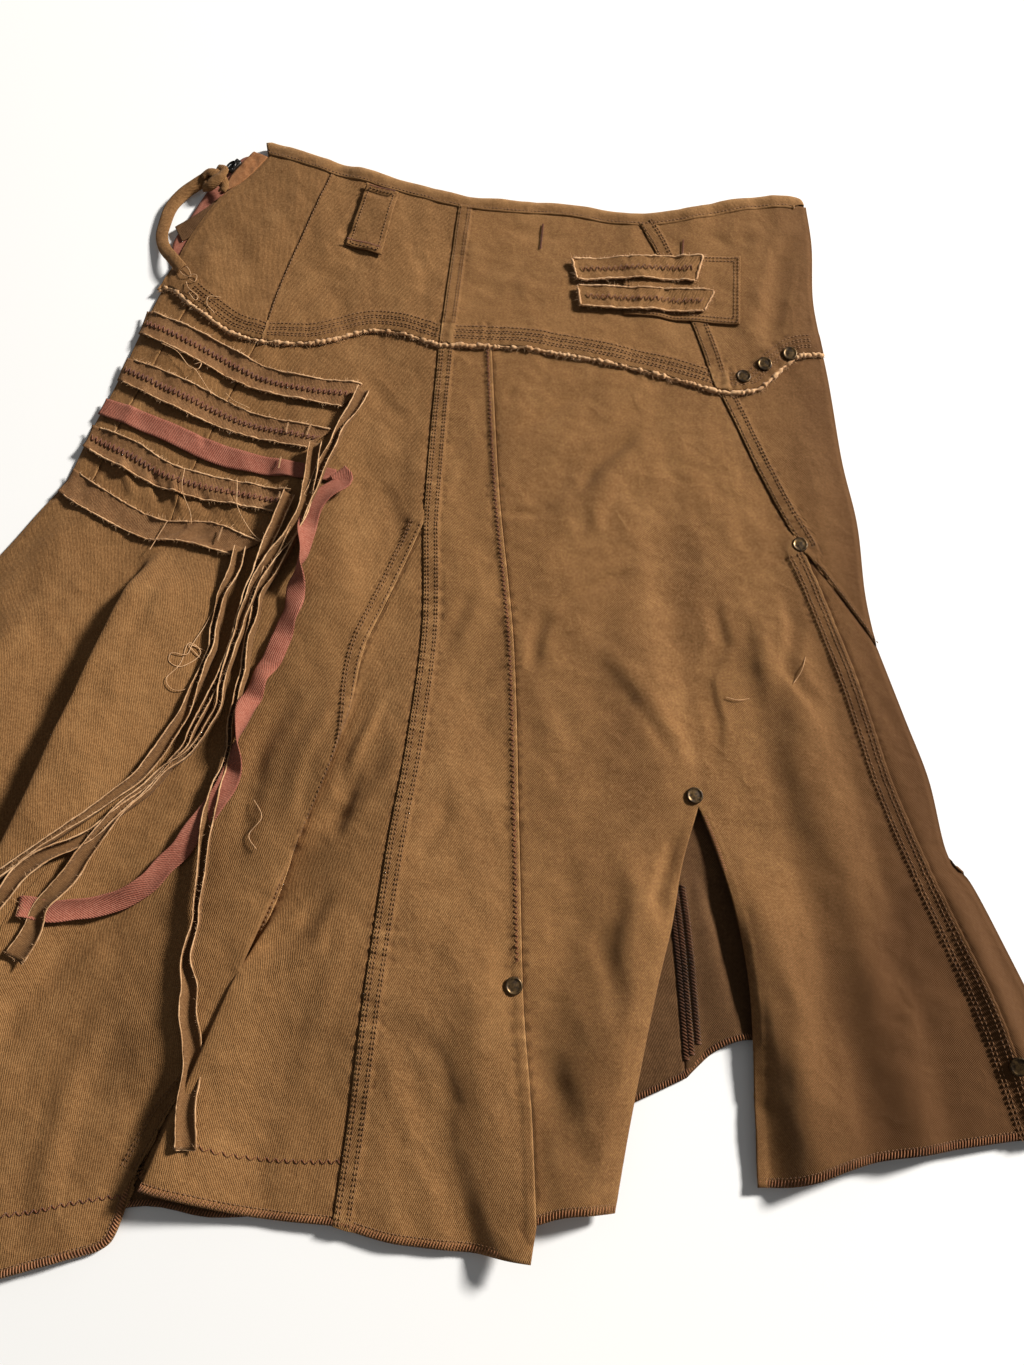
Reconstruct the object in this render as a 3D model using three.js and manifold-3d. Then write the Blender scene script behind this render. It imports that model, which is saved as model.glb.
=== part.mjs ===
// A flared, knee-length cargo skirt in brown cotton twill, laid flat with its front up.
// Millimetres, +Z up. +X runs across the skirt to the viewer's right, +Y from the hem to the waist.
// The back lies flat on the surface. The front lies on it, and its folds rise from there.
// Every cloth piece is cut from a sheet that follows those folds, one sheet for each layer.
import * as THREE from "three";
import { mergeVertices } from "three/addons/utils/BufferGeometryUtils.js";
import Module from "manifold-3d";

const wasm = await Module();
wasm.setup();

// Driving dimensions
const CLOTH = 1.6; // thickness of a cloth wall, measured upwards
const GAP = 0.3; // clearance between pieces that touch
const LAYER = CLOTH + GAP; // from one layer of cloth to the next
const SHEET_FLOOR = CLOTH + GAP; // underside of the front's lowest layer, over the back
const LOFT = 2.5; // how far the front lies off the back between its folds
const SIDE_SLOPE = 26; // distance over which the front comes down to the back at the sides
const BINDING = 11; // width of the waist binding
const SEAM_STEP = 34; // longest facet along an outline
const COLUMNS = 42; // facets across the front
const ROW_HEIGHT = 26; // height of a row of facets
const TAIL_WIDTH = 9; // a strip's loose tail, curled along its length
const RIVET_RADIUS = 4.8;
const RIVET_HEIGHT = 1.8;
const CORD_RADIUS = 2.4; // the fabric loop at the side opening
const MIDDLE = { x: -73.5, y: 230 }; // middle of the outline below, which becomes the origin

// Rows of numbers with named columns.
const table = (columns, rows) =>
  rows.map((row) => Object.fromEntries(row.map((value, i) => [columns[i], value])));

// Lines of the pattern, each a row of x, y from the waist down or from left to right.
const LINES = {
  waist: [[-178, 577], [-170, 582], [-157, 578], [-99, 555], [-36, 535], [33, 528],
    [84, 520], [112, 522], [143, 529], [171, 534], [195, 534], [201, 527]],
  opening: [[-171, 570], [-178, 559], [-188, 548], [-200, 536], [-210, 519], [-219, 500], [-226, 480]],
  leftYokeTip: [[-226, 480], [-235, 459]],
  leftHip: [[-226, 480], [-239, 442], [-254, 390], [-266, 355], [-277, 317]],
  leftFlounce: [[-277, 317], [-290, 299], [-310, 269], [-350, 215], [-385, 150],
    [-412, 80], [-428, 20], [-436, -22]],
  rightYoke: [[201, 527], [202, 494], [199, 450], [202, 409]],
  rightHip: [[200, 432], [204, 390], [207, 332], [212, 288], [212, 242], [215, 209]],
  rightGodet: [[215, 209], [227, 163], [236, 128], [241, 86], [252, 70], [266, 35],
    [278, 2], [287, -30], [289, -56]],
  yokeEdgeSide: [[-235, 459], [-226, 460], [-209, 444], [-183, 424], [-162, 416]],
  yokeEdgeLeft: [[-162, 416], [-126, 416], [-98, 425], [-79, 425], [-47, 414]],
  yokeEdgeCentre: [[-47, 414], [0, 412], [50, 403], [96, 391], [130, 380]],
  yokeEdgeRight: [[130, 380], [142, 379], [158, 382], [169, 393], [184, 406], [202, 409]],
  yokeSeamSide: [[-124, 560], [-134, 523], [-152, 467], [-162, 416]],
  yokeSeamMain: [[-36, 530], [-41, 479], [-47, 414]],
  yokeSeamRight: [[86, 515], [97, 486], [118, 428], [130, 380]],
  seamSide: [[-203, 470], [-232, 399], [-252, 346], [-262, 310]],
  seamHip: [[-158, 434], [-177, 386], [-204, 307], [-210, 282]],
  seamTails: [[-167, 271], [-173, 206], [-199, 133], [-223, 102], [-250, 72],
    [-268, 35], [-266, -20], [-253, -122]],
  seamMainTop: [[-46, 434], [-51, 353], [-54, 286]],
  seamMain: [[-54, 286], [-53, 218], [-59, 145], [-68, 83], [-78, -1], [-89, -98]],
  seamZigzag: [[-14, 430], [-8, 311], [1, 210], [4, 100], [6, 10], [10, -45], [12, -97]],
  seamGodet: [[-54, 286], [-68, 252], [-90, 195], [-101, 143], [-115, 103],
    [-138, 28], [-162, -17], [-190, -75]],
  seamRight: [[126, 402], [135, 373], [160, 304], [176, 268]],
  seamGodetTop: [[176, 268], [192, 246], [215, 209]],
  seamGodetRight: [[176, 268], [185, 242], [202, 180], [213, 129], [234, 61], [254, 3], [268, -58]],
  slitLeft: [[104, 112], [93, 79], [86, 49], [76, 14], [61, -46], [51, -92]],
  slitRight: [[104, 112], [113, 84], [121, 47], [125, 5], [124, -40], [123, -81]],
  bandTop: [[-273, 325], [-251, 309], [-215, 289], [-183, 286], [-151, 273]],
  bandSide: [[-277, 317], [-262, 310]],
  bandHip: [[-262, 310], [-233, 291], [-210, 282]],
  bandFront: [[-210, 282], [-190, 281], [-167, 271]],
  bandBottom: [[-281, 310], [-264, 298], [-224, 277], [-201, 274], [-169, 265]],
  hemFlounce: [[-436, -22], [-405, -72], [-350, -106], [-300, -119], [-253, -122]],
  hemLeft: [[-253, -122], [-222, -114], [-203, -109], [-196, -100], [-190, -75]],
  hemGodet: [[-190, -75], [-176, -84], [-130, -94], [-89, -98]],
  hemCentre: [[-89, -98], [-58, -106], [-12, -111], [9, -113]],
  hemFrontLeft: [[12, -97], [28, -93], [51, -92]],
  hemFrontRight: [[123, -81], [142, -80], [177, -70], [226, -63], [268, -58]],
  hemGodetRight: [[268, -58], [289, -56]],
  backHemLeft: [[-436, -22], [-400, -70], [-330, -99], [-250, -104], [-189, -90], [-149, -95],
    [-106, -91], [-31, -76], [24, -60], [51, -47], [90, -30]],
  backHemRight: [[90, -30], [106, -17], [124, -11], [150, -16], [210, -34], [289, -56]],
  backSeam: [[60, 520], [68, 400], [78, 200], [87, 53], [90, -30]],
};

// Folds of the front, each from its upper to its lower end. bow bends it sideways, west and east are
// its half widths, and enter and leave are the shares of its length over which it rises and falls.
const FOLDS = table(["x1", "y1", "x2", "y2", "bow", "west", "east", "high", "enter", "leave"], [
  [-262, 305, -375, -70, -6, 42, 36, 11, 0.35, 0],
  [-205, 274, -306, -60, 0, 14, 56, 12, 0.14, 0.3],
  [-85, 215, -185, -50, 0, 50, 15, 12, 0.3, 0.2],
  [-112, 70, -176, -90, 0, 14, 46, 9, 0.45, 0],
  [-120, 380, -98, 170, 0, 42, 42, 4, 0.4, 0.4],
  [-66, 158, -114, 84, 4, 12, 12, -3, 0.3, 0.3],
  [-66, 14, -30, -80, 0, 14, 14, -2.5, 0.3, 0],
  [-30, 110, -2, -110, 0, 24, 26, 5, 0.5, 0],
  [112, 384, 2, 300, 0, 16, 16, -2.5, 0.3, 0.3],
  [100, 350, 6, 268, 0, 18, 18, 3, 0.3, 0.3],
  [62, 250, 74, 90, 14, 26, 26, 5, 0.4, 0.4],
  [100, 330, 108, 140, -10, 20, 22, -2.5, 0.3, 0.3],
  [88, 96, 36, -96, 0, 42, 26, 8, 0.3, 0],
  [122, 96, 154, -84, 0, 26, 44, 9, 0.35, 0],
  [150, 250, 206, -70, 0, 22, 22, 6, 0.35, 0],
  [222, 150, 276, -50, 0, 20, 18, 6, 0.4, 0],
  [170, 470, 150, 400, 0, 20, 20, 2, 0.4, 0.4],
]);

// Loose tails of the strips, from the strip's end to the free end, and the layer each lies in.
const TAILS = {
  tail_1: { layer: 2, path: [[-95, 379], [-108, 340], [-116, 322], [-129, 277], [-146, 242],
    [-150, 213], [-157, 174], [-165, 131], [-166, 96], [-168, 40], [-164, -12], [-161, -62]] },
  tail_2: { layer: 4, path: [[-120, 338], [-129, 285], [-152, 245], [-162, 191], [-175, 153],
    [-200, 125], [-218, 107], [-238, 70], [-261, 30]] },
  tail_3: { layer: 3, path: [[-137, 304], [-153, 255], [-167, 196], [-192, 133], [-223, 102],
    [-253, 80], [-273, 56], [-286, 36]] },
  tail_4: { layer: 2, path: [[-162, 269], [-169, 240], [-176, 196], [-194, 151], [-215, 121],
    [-241, 99], [-266, 77], [-292, 47]] },
  tail_tape: { layer: 3, path: [[-107, 319], [-103, 311], [-120, 296], [-126, 258], [-131, 225],
    [-146, 183], [-154, 143], [-167, 107], [-200, 69], [-235, 54], [-261, 55]] },
};

// Strips stitched flat over the hip: upper edge and lower edge, from left to right.
const STRIPS = {
  strip_1: [[[-240, 442], [-200, 422], [-150, 393], [-95, 384]],
    [[-244, 425], [-207, 405], [-163, 380], [-107, 367]]],
  strip_2: [[[-249, 406], [-205, 385], [-162, 362], [-113, 350]],
    [[-254, 390], [-217, 369], [-174, 349], [-127, 337]]],
  tape: [[[-259, 376], [-216, 357], [-174, 338], [-108, 321]],
    [[-263, 365], [-221, 345], [-178, 325], [-110, 313]]],
  strip_3: [[[-265, 356], [-235, 342], [-205, 324], [-135, 307]],
    [[-269, 341], [-243, 325], [-206, 307], [-145, 294]]],
};

const RIVETS = table(["name", "x", "y", "layer"], [
  ["rivet_yoke_1", 148, 390, 2],
  ["rivet_yoke_2", 162, 399, 2],
  ["rivet_yoke_3", 179, 407, 2],
  ["rivet_side", 174, 272, 1],
  ["rivet_slit", 102, 118, 1],
  ["rivet_centre", 1, 16, 1],
  ["rivet_left", -272, 15, 1],
  ["rivet_right", 260, -24, 1],
]);

// Colours of the materials, as sRGB.
const FINISHES = {
  twill: { color: 0x8a6239, roughness: 0.9, metalness: 0 },
  twill_inside: { color: 0x7a5733, roughness: 0.95, metalness: 0 },
  tape: { color: 0xa56350, roughness: 0.85, metalness: 0 },
  facing: { color: 0xa86f45, roughness: 0.95, metalness: 0 },
  brass: { color: 0x57401f, roughness: 0.4, metalness: 0.9 },
  black_metal: { color: 0x15120f, roughness: 0.35, metalness: 0.8 },
};
const MATERIALS = Object.fromEntries(
  Object.entries(FINISHES).map(([name, finish]) => [name, new THREE.MeshStandardMaterial(finish)]),
);

const smooth = (share) => {
  const t = THREE.MathUtils.clamp(share, 0, 1);
  return t * t * (3 - 2 * t);
};

const corners = (rows) => rows.map(([x, y]) => new THREE.Vector2(x, y));

// A smooth line through the given points, in steps of SEAM_STEP at most.
function curve(rows) {
  const points = corners(rows);
  const spline = new THREE.SplineCurve(points);
  const spans = points.length - 1;
  const line = points.slice(1).flatMap((point, i) => {
    const steps = Math.ceil(point.distanceTo(points[i]) / SEAM_STEP);
    return Array.from({ length: steps }, (_, k) => spline.getPoint((i + k / steps) / spans));
  });
  return [...line, points[spans]];
}

const CURVES = Object.fromEntries(Object.entries(LINES).map(([name, rows]) => [name, curve(rows)]));

// Distance from a point to the nearest side of the laid skirt.
const SIDES = ["opening", "leftHip", "leftFlounce", "rightYoke", "rightHip", "rightGodet"]
  .map((name) => CURVES[name]);

function distanceToSide(x, y) {
  let nearest = Infinity;
  for (const side of SIDES) {
    for (let i = 1; i < side.length; i++) {
      const along = side[i].clone().sub(side[i - 1]);
      const from = new THREE.Vector2(x, y).sub(side[i - 1]);
      const share = THREE.MathUtils.clamp(from.dot(along) / along.lengthSq(), 0, 1);
      nearest = Math.min(nearest, from.addScaledVector(along, -share).length());
    }
  }
  return nearest;
}

// Height of one fold at a point: a cosine hump across, eased in and out along its length.
function foldAt(fold, x, y) {
  const dx = fold.x2 - fold.x1;
  const dy = fold.y2 - fold.y1;
  const length = Math.hypot(dx, dy);
  const share = ((x - fold.x1) * dx + (y - fold.y1) * dy) / length ** 2;
  const bent = fold.bow * 4 * share * (1 - share);
  const across = ((y - fold.y1) * dx - (x - fold.x1) * dy) / length - bent;
  const width = across > 0 ? fold.east : fold.west;
  if (Math.abs(across) >= width || share <= 0) return 0;
  const along = smooth(share / fold.enter) * (fold.leave ? smooth((1 - share) / fold.leave) : 1);
  return fold.high * along * 0.5 * (1 + Math.cos((Math.PI * across) / width));
}

// How far the front's underside lies above its lowest place, GAP over the back.
function rise(x, y) {
  const folds = FOLDS.reduce((sum, fold) => sum + foldAt(fold, x, y), 0);
  return smooth(distanceToSide(x, y) / SIDE_SLOPE) * Math.max(0, LOFT + folds);
}

// The grid of facets fans out from waist to hem, so that its columns run with the folds.
const FAN = table(["y", "left", "right"], [
  [592, -188, 210], [442, -249, 212], [311, -292, 220], [215, -362, 226],
  [80, -424, 256], [-22, -446, 292], [-132, -450, 300],
]);
const ROWS = Math.ceil((FAN[0].y - FAN.at(-1).y) / ROW_HEIGHT);

function fanEdge(y, side) {
  const k = Math.max(1, FAN.findIndex((row) => row.y <= y));
  const [above, below] = [FAN[k - 1], FAN[k]];
  return THREE.MathUtils.mapLinear(y, above.y, below.y, above[side], below[side]);
}

const GRID = Array.from({ length: ROWS + 1 }, (_, j) => {
  const y = THREE.MathUtils.lerp(FAN[0].y, FAN.at(-1).y, j / ROWS);
  const [left, right] = [fanEdge(y, "left"), fanEdge(y, "right")];
  return Array.from({ length: COLUMNS + 1 }, (_, i) => {
    const x = THREE.MathUtils.lerp(left, right, i / COLUMNS);
    return new THREE.Vector3(x, y, rise(x, y));
  });
});

// A closed three.js geometry as a solid for cutting and joining.
function solid(geometry) {
  const bare = geometry.clone();
  for (const name of Object.keys(bare.attributes)) {
    if (name !== "position") bare.deleteAttribute(name);
  }
  const merged = mergeVertices(bare, 1e-4);
  const triVerts = new Uint32Array(merged.index.array);
  const vertProperties = new Float32Array(merged.attributes.position.array);
  return new wasm.Manifold(new wasm.Mesh({ numProp: 3, vertProperties, triVerts }));
}

function geometryOf(made) {
  const mesh = made.getMesh();
  const geometry = new THREE.BufferGeometry();
  geometry.setAttribute("position", new THREE.BufferAttribute(mesh.vertProperties, 3));
  geometry.setIndex(new THREE.BufferAttribute(mesh.triVerts, 1));
  return geometry;
}

// A wall CLOTH thick over the whole grid, in the given layer above the back.
function sheetOfCloth(layer) {
  const across = COLUMNS + 1;
  const underside = SHEET_FLOOR + layer * LAYER;
  const points = GRID.flat();
  const position = [underside, underside + CLOTH]
    .flatMap((lift) => points.flatMap((p) => [p.x, p.y, p.z + lift]));
  const index = [];
  const quad = (a, b, c, d) => index.push(a, b, c, a, c, d);
  for (let j = 0; j < ROWS; j++) {
    for (let i = 0; i < COLUMNS; i++) {
      const a = j * across + i;
      quad(a, a + 1, a + across + 1, a + across);
      const top = a + points.length;
      quad(top, top + across, top + across + 1, top + 1);
    }
  }
  const rim = [];
  for (let i = 0; i < COLUMNS; i++) rim.push(i);
  for (let j = 0; j < ROWS; j++) rim.push(j * across + COLUMNS);
  for (let i = COLUMNS; i > 0; i--) rim.push(ROWS * across + i);
  for (let j = ROWS; j > 0; j--) rim.push(j * across);
  rim.forEach((a, k) => {
    const b = rim[(k + 1) % rim.length];
    quad(a, a + points.length, b + points.length, b);
  });
  const geometry = new THREE.BufferGeometry();
  geometry.setAttribute("position", new THREE.Float32BufferAttribute(position, 3));
  geometry.setIndex(index);
  return solid(geometry);
}

const SHEETS = [0, 1, 2, 3, 4].map(sheetOfCloth);

// A closed outline from lines laid end to end, drawn in on every side by half the gap of a seam.
function outline(lines, inset = GAP / 2) {
  const points = [];
  for (const point of lines.flat()) {
    if (!points.length || points.at(-1).distanceTo(point) > 0.5) points.push(point);
  }
  if (points[0].distanceTo(points.at(-1)) < 0.5) points.pop();
  const turn = THREE.ShapeUtils.isClockWise(points) ? -1 : 1;
  const normal = (from, to) => new THREE.Vector2(from.y - to.y, to.x - from.x).normalize();
  return points.map((point, i) => {
    const before = normal(points.at(i - 1), point);
    const after = normal(point, points[(i + 1) % points.length]);
    const inwards = before.clone().add(after).normalize();
    const reach = inset / Math.max(0.5, inwards.dot(before));
    return point.clone().addScaledVector(inwards, turn * reach);
  });
}

// An upright prism over an outline, from floor to ceiling.
function prism(points, floor = -1, ceiling = 60) {
  const geometry = new THREE.ExtrudeGeometry(new THREE.Shape(points), {
    depth: ceiling - floor, bevelEnabled: false,
  });
  return solid(geometry.translate(0, 0, floor));
}

const skirt = new THREE.Group();

function place(name, geometry, finish) {
  const mesh = new THREE.Mesh(geometry, MATERIALS[finish]);
  mesh.name = name;
  mesh.position.set(-MIDDLE.x, -MIDDLE.y, 0);
  skirt.add(mesh);
}

// A piece of cloth of the front, cut from one layer.
function cut(name, layer, lines, finish = "twill") {
  place(name, geometryOf(SHEETS[layer].intersect(prism(outline(lines)))), finish);
}

// A piece of cloth that lies flat on the surface.
function lay(name, lines, finish = "twill_inside") {
  place(name, geometryOf(prism(outline(lines), 0, CLOTH)), finish);
}

const turned = (points) => [...points].reverse();
const between = (points, from, to) => points.filter((p) => p.x > from && p.x < to);

// The line a given distance to the right of its run, such as the lower edge of a binding.
function beside(points, distance) {
  return points.map((point, i) => {
    const run = points[Math.min(i + 1, points.length - 1)].clone().sub(points[Math.max(i - 1, 0)]);
    return new THREE.Vector2(run.y, -run.x).normalize().multiplyScalar(distance).add(point);
  });
}

const C = CURVES;
const WAIST_BAND = [C.waist, turned(beside(C.waist, BINDING).slice(1, -1))];
const BELOW_WAIST_BAND = prism(outline(WAIST_BAND, -GAP / 2));

// A piece of the yoke or the back: its sides run up into the binding, and the cut ends them there.
function cutBelowBinding(name, wall, lines, finish) {
  const piece = wall.intersect(prism(outline(lines))).subtract(BELOW_WAIST_BAND);
  const [largest] = piece.decompose().sort((a, b) => b.volume() - a.volume());
  place(name, geometryOf(largest), finish);
}

// Back of the skirt, flat on the surface, with its seam seen through the slit.
function makeBack() {
  const wall = prism(corners([[-460, -140], [310, -140], [310, 600], [-460, 600]]), 0, CLOTH);
  cutBelowBinding("back_left", wall, [between(C.waist, -168, 58), C.backSeam, turned(C.backHemLeft),
    turned(C.leftFlounce), turned(C.leftHip), turned(C.opening)], "twill_inside");
  cutBelowBinding("back_right", wall, [turned(C.backSeam), between(C.waist, 62, 196),
    C.rightYoke, C.rightHip, C.rightGodet, turned(C.backHemRight)], "twill_inside");
}

function makeBindings() {
  lay("back_binding", WAIST_BAND);
  cut("front_binding", 1, WAIST_BAND);
}

function makeYoke() {
  const wall = SHEETS[1];
  cutBelowBinding("yoke_side", wall, [between(C.waist, -168, -125), C.yokeSeamSide,
    turned(C.yokeEdgeSide), turned(C.leftYokeTip), turned(C.opening)], "twill");
  cutBelowBinding("yoke_left", wall, [between(C.waist, -123, -37), C.yokeSeamMain,
    turned(C.yokeEdgeLeft), turned(C.yokeSeamSide)], "twill");
  cutBelowBinding("yoke_centre", wall, [between(C.waist, -35, 85), C.yokeSeamRight,
    turned(C.yokeEdgeCentre), turned(C.yokeSeamMain)], "twill");
  cutBelowBinding("yoke_right", wall, [between(C.waist, 87, 196), C.rightYoke,
    turned(C.yokeEdgeRight), turned(C.yokeSeamRight)], "twill");
}

// Belt loop, and the patch with its two strips.
function makeYokeTrims() {
  cut("belt_loop", 2, [corners([[-99, 541], [-77, 533], [-87, 482], [-111, 491]])]);
  cut("patch", 2, [corners([[74, 485], [152, 482], [148, 428], [73, 437]])]);
  cut("patch_strip_upper", 3, [corners([[40, 479], [86, 482], [127, 482], [121, 462], [85, 464],
    [43, 463]])]);
  cut("patch_strip_lower", 3, [corners([[43, 458], [86, 456], [133, 454], [125, 438], [86, 439],
    [45, 442]])]);
}

// The side opening: tape and underlap beyond the yoke's edge, facing, zip slider and fabric loop.
function makeOpening() {
  lay("zip_tape", [corners([[-179, 572], [-186, 571], [-207, 546], [-228, 498], [-226, 482],
    [-221, 498], [-212, 518], [-202, 537], [-190, 549], [-180, 560]])], "tape");
  cut("facing", 0, [corners([[-180, 574], [-171, 571], [-178, 557], [-194, 542], [-198, 541],
    [-193, 555]])], "facing");
  cut("underlap", 0, [corners([[-200, 533], [-202, 536], [-209, 526], [-216, 520], [-228, 510],
    [-225, 502], [-213, 504]])], "twill_inside");

  const outer = new THREE.Shape();
  outer.absellipse(0, 0, 3, 6, 0, Math.PI * 2);
  const slider = new THREE.ExtrudeGeometry(outer, {
    depth: 1.2, curveSegments: 10, bevelThickness: 0.5, bevelSize: 0.5, bevelSegments: 1,
  });
  slider.rotateZ(THREE.MathUtils.degToRad(-36)).translate(-192, 560, SHEET_FLOOR + LAYER + 1.6);
  place("zip_slider", slider, "black_metal");

  const route = [[-201, 550, 8.8], [-209, 549, 7.2], [-217, 545, 5.4], [-226, 538, 4.2],
    [-233, 528, 3.4], [-236, 515, 3.4], [-237, 503, 3.6], [-233, 491, 5.6], [-226, 481, 8.5],
    [-219, 472, 9]];
  const path = new THREE.CatmullRomCurve3(route.map((p) => new THREE.Vector3(...p)));
  const section = new THREE.Shape();
  section.absarc(0, 0, CORD_RADIUS, 0, Math.PI * 2);
  const cord = new THREE.ExtrudeGeometry(section, { extrudePath: path, steps: 16, curveSegments: 4 });
  place("side_loop", cord, "twill");
}

// The panels below the yoke, whose tops run on beneath its raw edge.
function makeBody() {
  cut("hip_side", 0, [C.leftHip, C.bandSide, turned(C.seamSide)]);
  cut("hip_left", 0, [C.seamSide, C.bandHip, turned(C.seamHip)]);
  cut("front_left", 0, [C.seamHip, C.bandFront, C.seamTails, C.hemLeft, turned(C.seamGodet),
    turned(C.seamMainTop)]);
  cut("flounce", 0, [C.leftFlounce, C.hemFlounce, turned(C.seamTails), turned(C.bandFront),
    turned(C.bandHip), turned(C.bandSide)]);
  cut("godet_left", 0, [C.seamGodet, C.hemGodet, turned(C.seamMain)]);
  cut("front_centre", 0, [C.seamMainTop, C.seamMain, C.hemCentre, turned(C.seamZigzag)]);
  cut("front_right", 0, [C.seamZigzag, C.hemFrontLeft, turned(C.slitLeft), C.slitRight,
    C.hemFrontRight, turned(C.seamGodetRight), turned(C.seamRight)]);
  cut("side_right", 0, [C.seamRight, C.seamGodetTop, turned(C.rightHip)]);
  cut("godet_right", 0, [C.seamGodetRight, C.hemGodetRight, turned(C.rightGodet),
    turned(C.seamGodetTop)]);
}

// Strips stitched over the hip, the band that gathers the flounce, and the strips' loose tails.
function makeStrips() {
  for (const [name, [upper, lower]] of Object.entries(STRIPS)) {
    cut(name, 1, [curve(upper), turned(curve(lower))], name === "tape" ? "tape" : "twill");
  }
  cut("gather_band", 1, [C.bandTop, turned(C.bandBottom)]);
  for (const [name, tail] of Object.entries(TAILS)) {
    const path = curve(tail.path);
    const edges = [beside(path, TAIL_WIDTH / 2), turned(beside(path, -TAIL_WIDTH / 2))];
    cut(name, tail.layer, edges, name === "tail_tape" ? "tape" : "twill");
  }
}

// Height of the grid's facets at a point.
function facetHeight(x, y) {
  const row = THREE.MathUtils.clamp(((FAN[0].y - y) / (FAN[0].y - FAN.at(-1).y)) * ROWS, 0, ROWS - 1e-6);
  const j = Math.floor(row);
  const [left, right] = [fanEdge(y, "left"), fanEdge(y, "right")];
  const column = THREE.MathUtils.clamp(((x - left) / (right - left)) * COLUMNS, 0, COLUMNS - 1e-6);
  const i = Math.floor(column);
  const cell = [GRID[j][i], GRID[j][i + 1], GRID[j + 1][i + 1], GRID[j + 1][i]];
  return [[0, 1, 2], [0, 2, 3]].reduce((height, triple) => {
    const [a, b, c] = triple.map((k) => cell[k]);
    const flat = (p) => new THREE.Vector3(p.x, p.y, 0);
    const shares = THREE.Triangle.getBarycoord(new THREE.Vector3(x, y, 0), flat(a), flat(b), flat(c),
      new THREE.Vector3());
    return Math.max(height, shares.x * a.z + shares.y * b.z + shares.z * c.z);
  }, 0);
}

// A capped rivet: a flat disc with a rolled rim.
function makeRivets() {
  const profile = [[0, 0], [RIVET_RADIUS, 0], [RIVET_RADIUS, RIVET_HEIGHT * 0.6],
    [RIVET_RADIUS * 0.85, RIVET_HEIGHT], [RIVET_RADIUS * 0.6, RIVET_HEIGHT * 0.8],
    [0, RIVET_HEIGHT * 0.8]];
  for (const rivet of RIVETS) {
    const geometry = new THREE.LatheGeometry(profile.map(([r, h]) => new THREE.Vector2(r, h)), 12);
    const around = [0, 1, 2, 3, 4, 5, 6, 7].map((k) => (k * Math.PI) / 4);
    const seat = Math.max(facetHeight(rivet.x, rivet.y), ...around.map((angle) => facetHeight(
      rivet.x + RIVET_RADIUS * Math.cos(angle), rivet.y + RIVET_RADIUS * Math.sin(angle))));
    const height = SHEET_FLOOR + rivet.layer * LAYER + seat;
    geometry.rotateX(Math.PI / 2).translate(rivet.x, rivet.y, height);
    place(rivet.name, geometry, "brass");
  }
}

makeBack();
makeBindings();
makeBody();
makeYoke();
makeYokeTrims();
makeOpening();
makeStrips();
makeRivets();

export default skirt;
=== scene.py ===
# %% [markdown]
# # A brown twill skirt, laid flat
# This lesson dresses the plain solids of a flared skirt with cloth, seams, frayed edges and thread.
# The solids give each piece its place. Here each piece is made again as a fine surface on the same
# lines and the same folds, so it stays inside the box of the solids.

# %% Load the frame
import math

import bpy
import numpy as np
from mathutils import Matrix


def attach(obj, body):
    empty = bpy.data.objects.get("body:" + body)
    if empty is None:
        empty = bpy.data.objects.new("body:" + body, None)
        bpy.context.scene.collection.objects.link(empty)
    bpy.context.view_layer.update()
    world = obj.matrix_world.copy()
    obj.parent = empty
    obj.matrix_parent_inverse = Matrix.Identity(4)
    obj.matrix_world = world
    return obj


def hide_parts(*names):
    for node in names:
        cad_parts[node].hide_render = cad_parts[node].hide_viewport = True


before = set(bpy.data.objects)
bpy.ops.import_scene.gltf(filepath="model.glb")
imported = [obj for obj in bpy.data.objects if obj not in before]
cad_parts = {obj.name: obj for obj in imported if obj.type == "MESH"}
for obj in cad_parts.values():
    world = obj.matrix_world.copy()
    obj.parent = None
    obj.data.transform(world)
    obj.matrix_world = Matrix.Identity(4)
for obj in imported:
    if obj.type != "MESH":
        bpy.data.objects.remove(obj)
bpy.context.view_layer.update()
MIDDLE = np.array([-73.5, 230.0])  # the pattern's point that is the frame's origin, in millimetres
noise_source = np.random.default_rng(41)

# %% [markdown]
# ## Camera
# The rivet caps are oval near the waist and rounder and larger near the hem. A camera that hangs
# 57 cm over the lower front, at the pattern's zero, and tips 18 degrees towards the waist sees them
# so.

# %% Camera
CAMERA_HEIGHT = 0.575
TIP = math.radians(18)
FOCAL_PIXELS, FRAME_PIXELS = 1032, 1365  # focal length and height of the frame, in its pixels
SENSOR = 36

camera_data = bpy.data.cameras.new("camera")
camera_data.sensor_width = SENSOR
camera_data.lens = SENSOR * FOCAL_PIXELS / FRAME_PIXELS
camera = bpy.data.objects.new("camera", camera_data)
camera.location = (-MIDDLE[0] / 1000, -MIDDLE[1] / 1000, CAMERA_HEIGHT)
camera.rotation_euler = (TIP, 0, 0)
bpy.context.scene.collection.objects.link(camera)
bpy.context.scene.camera = camera
print("lens", round(camera_data.lens, 2), "mm")

# %% [markdown]
# ## Lines of the pattern
# A seam is a line that two panels share. Each is given by a few points in millimetres, from the
# waist down or from left to right, and a smooth curve goes through them. Drawing every panel from
# shared lines is what keeps neighbours closed along a seam.

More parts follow.
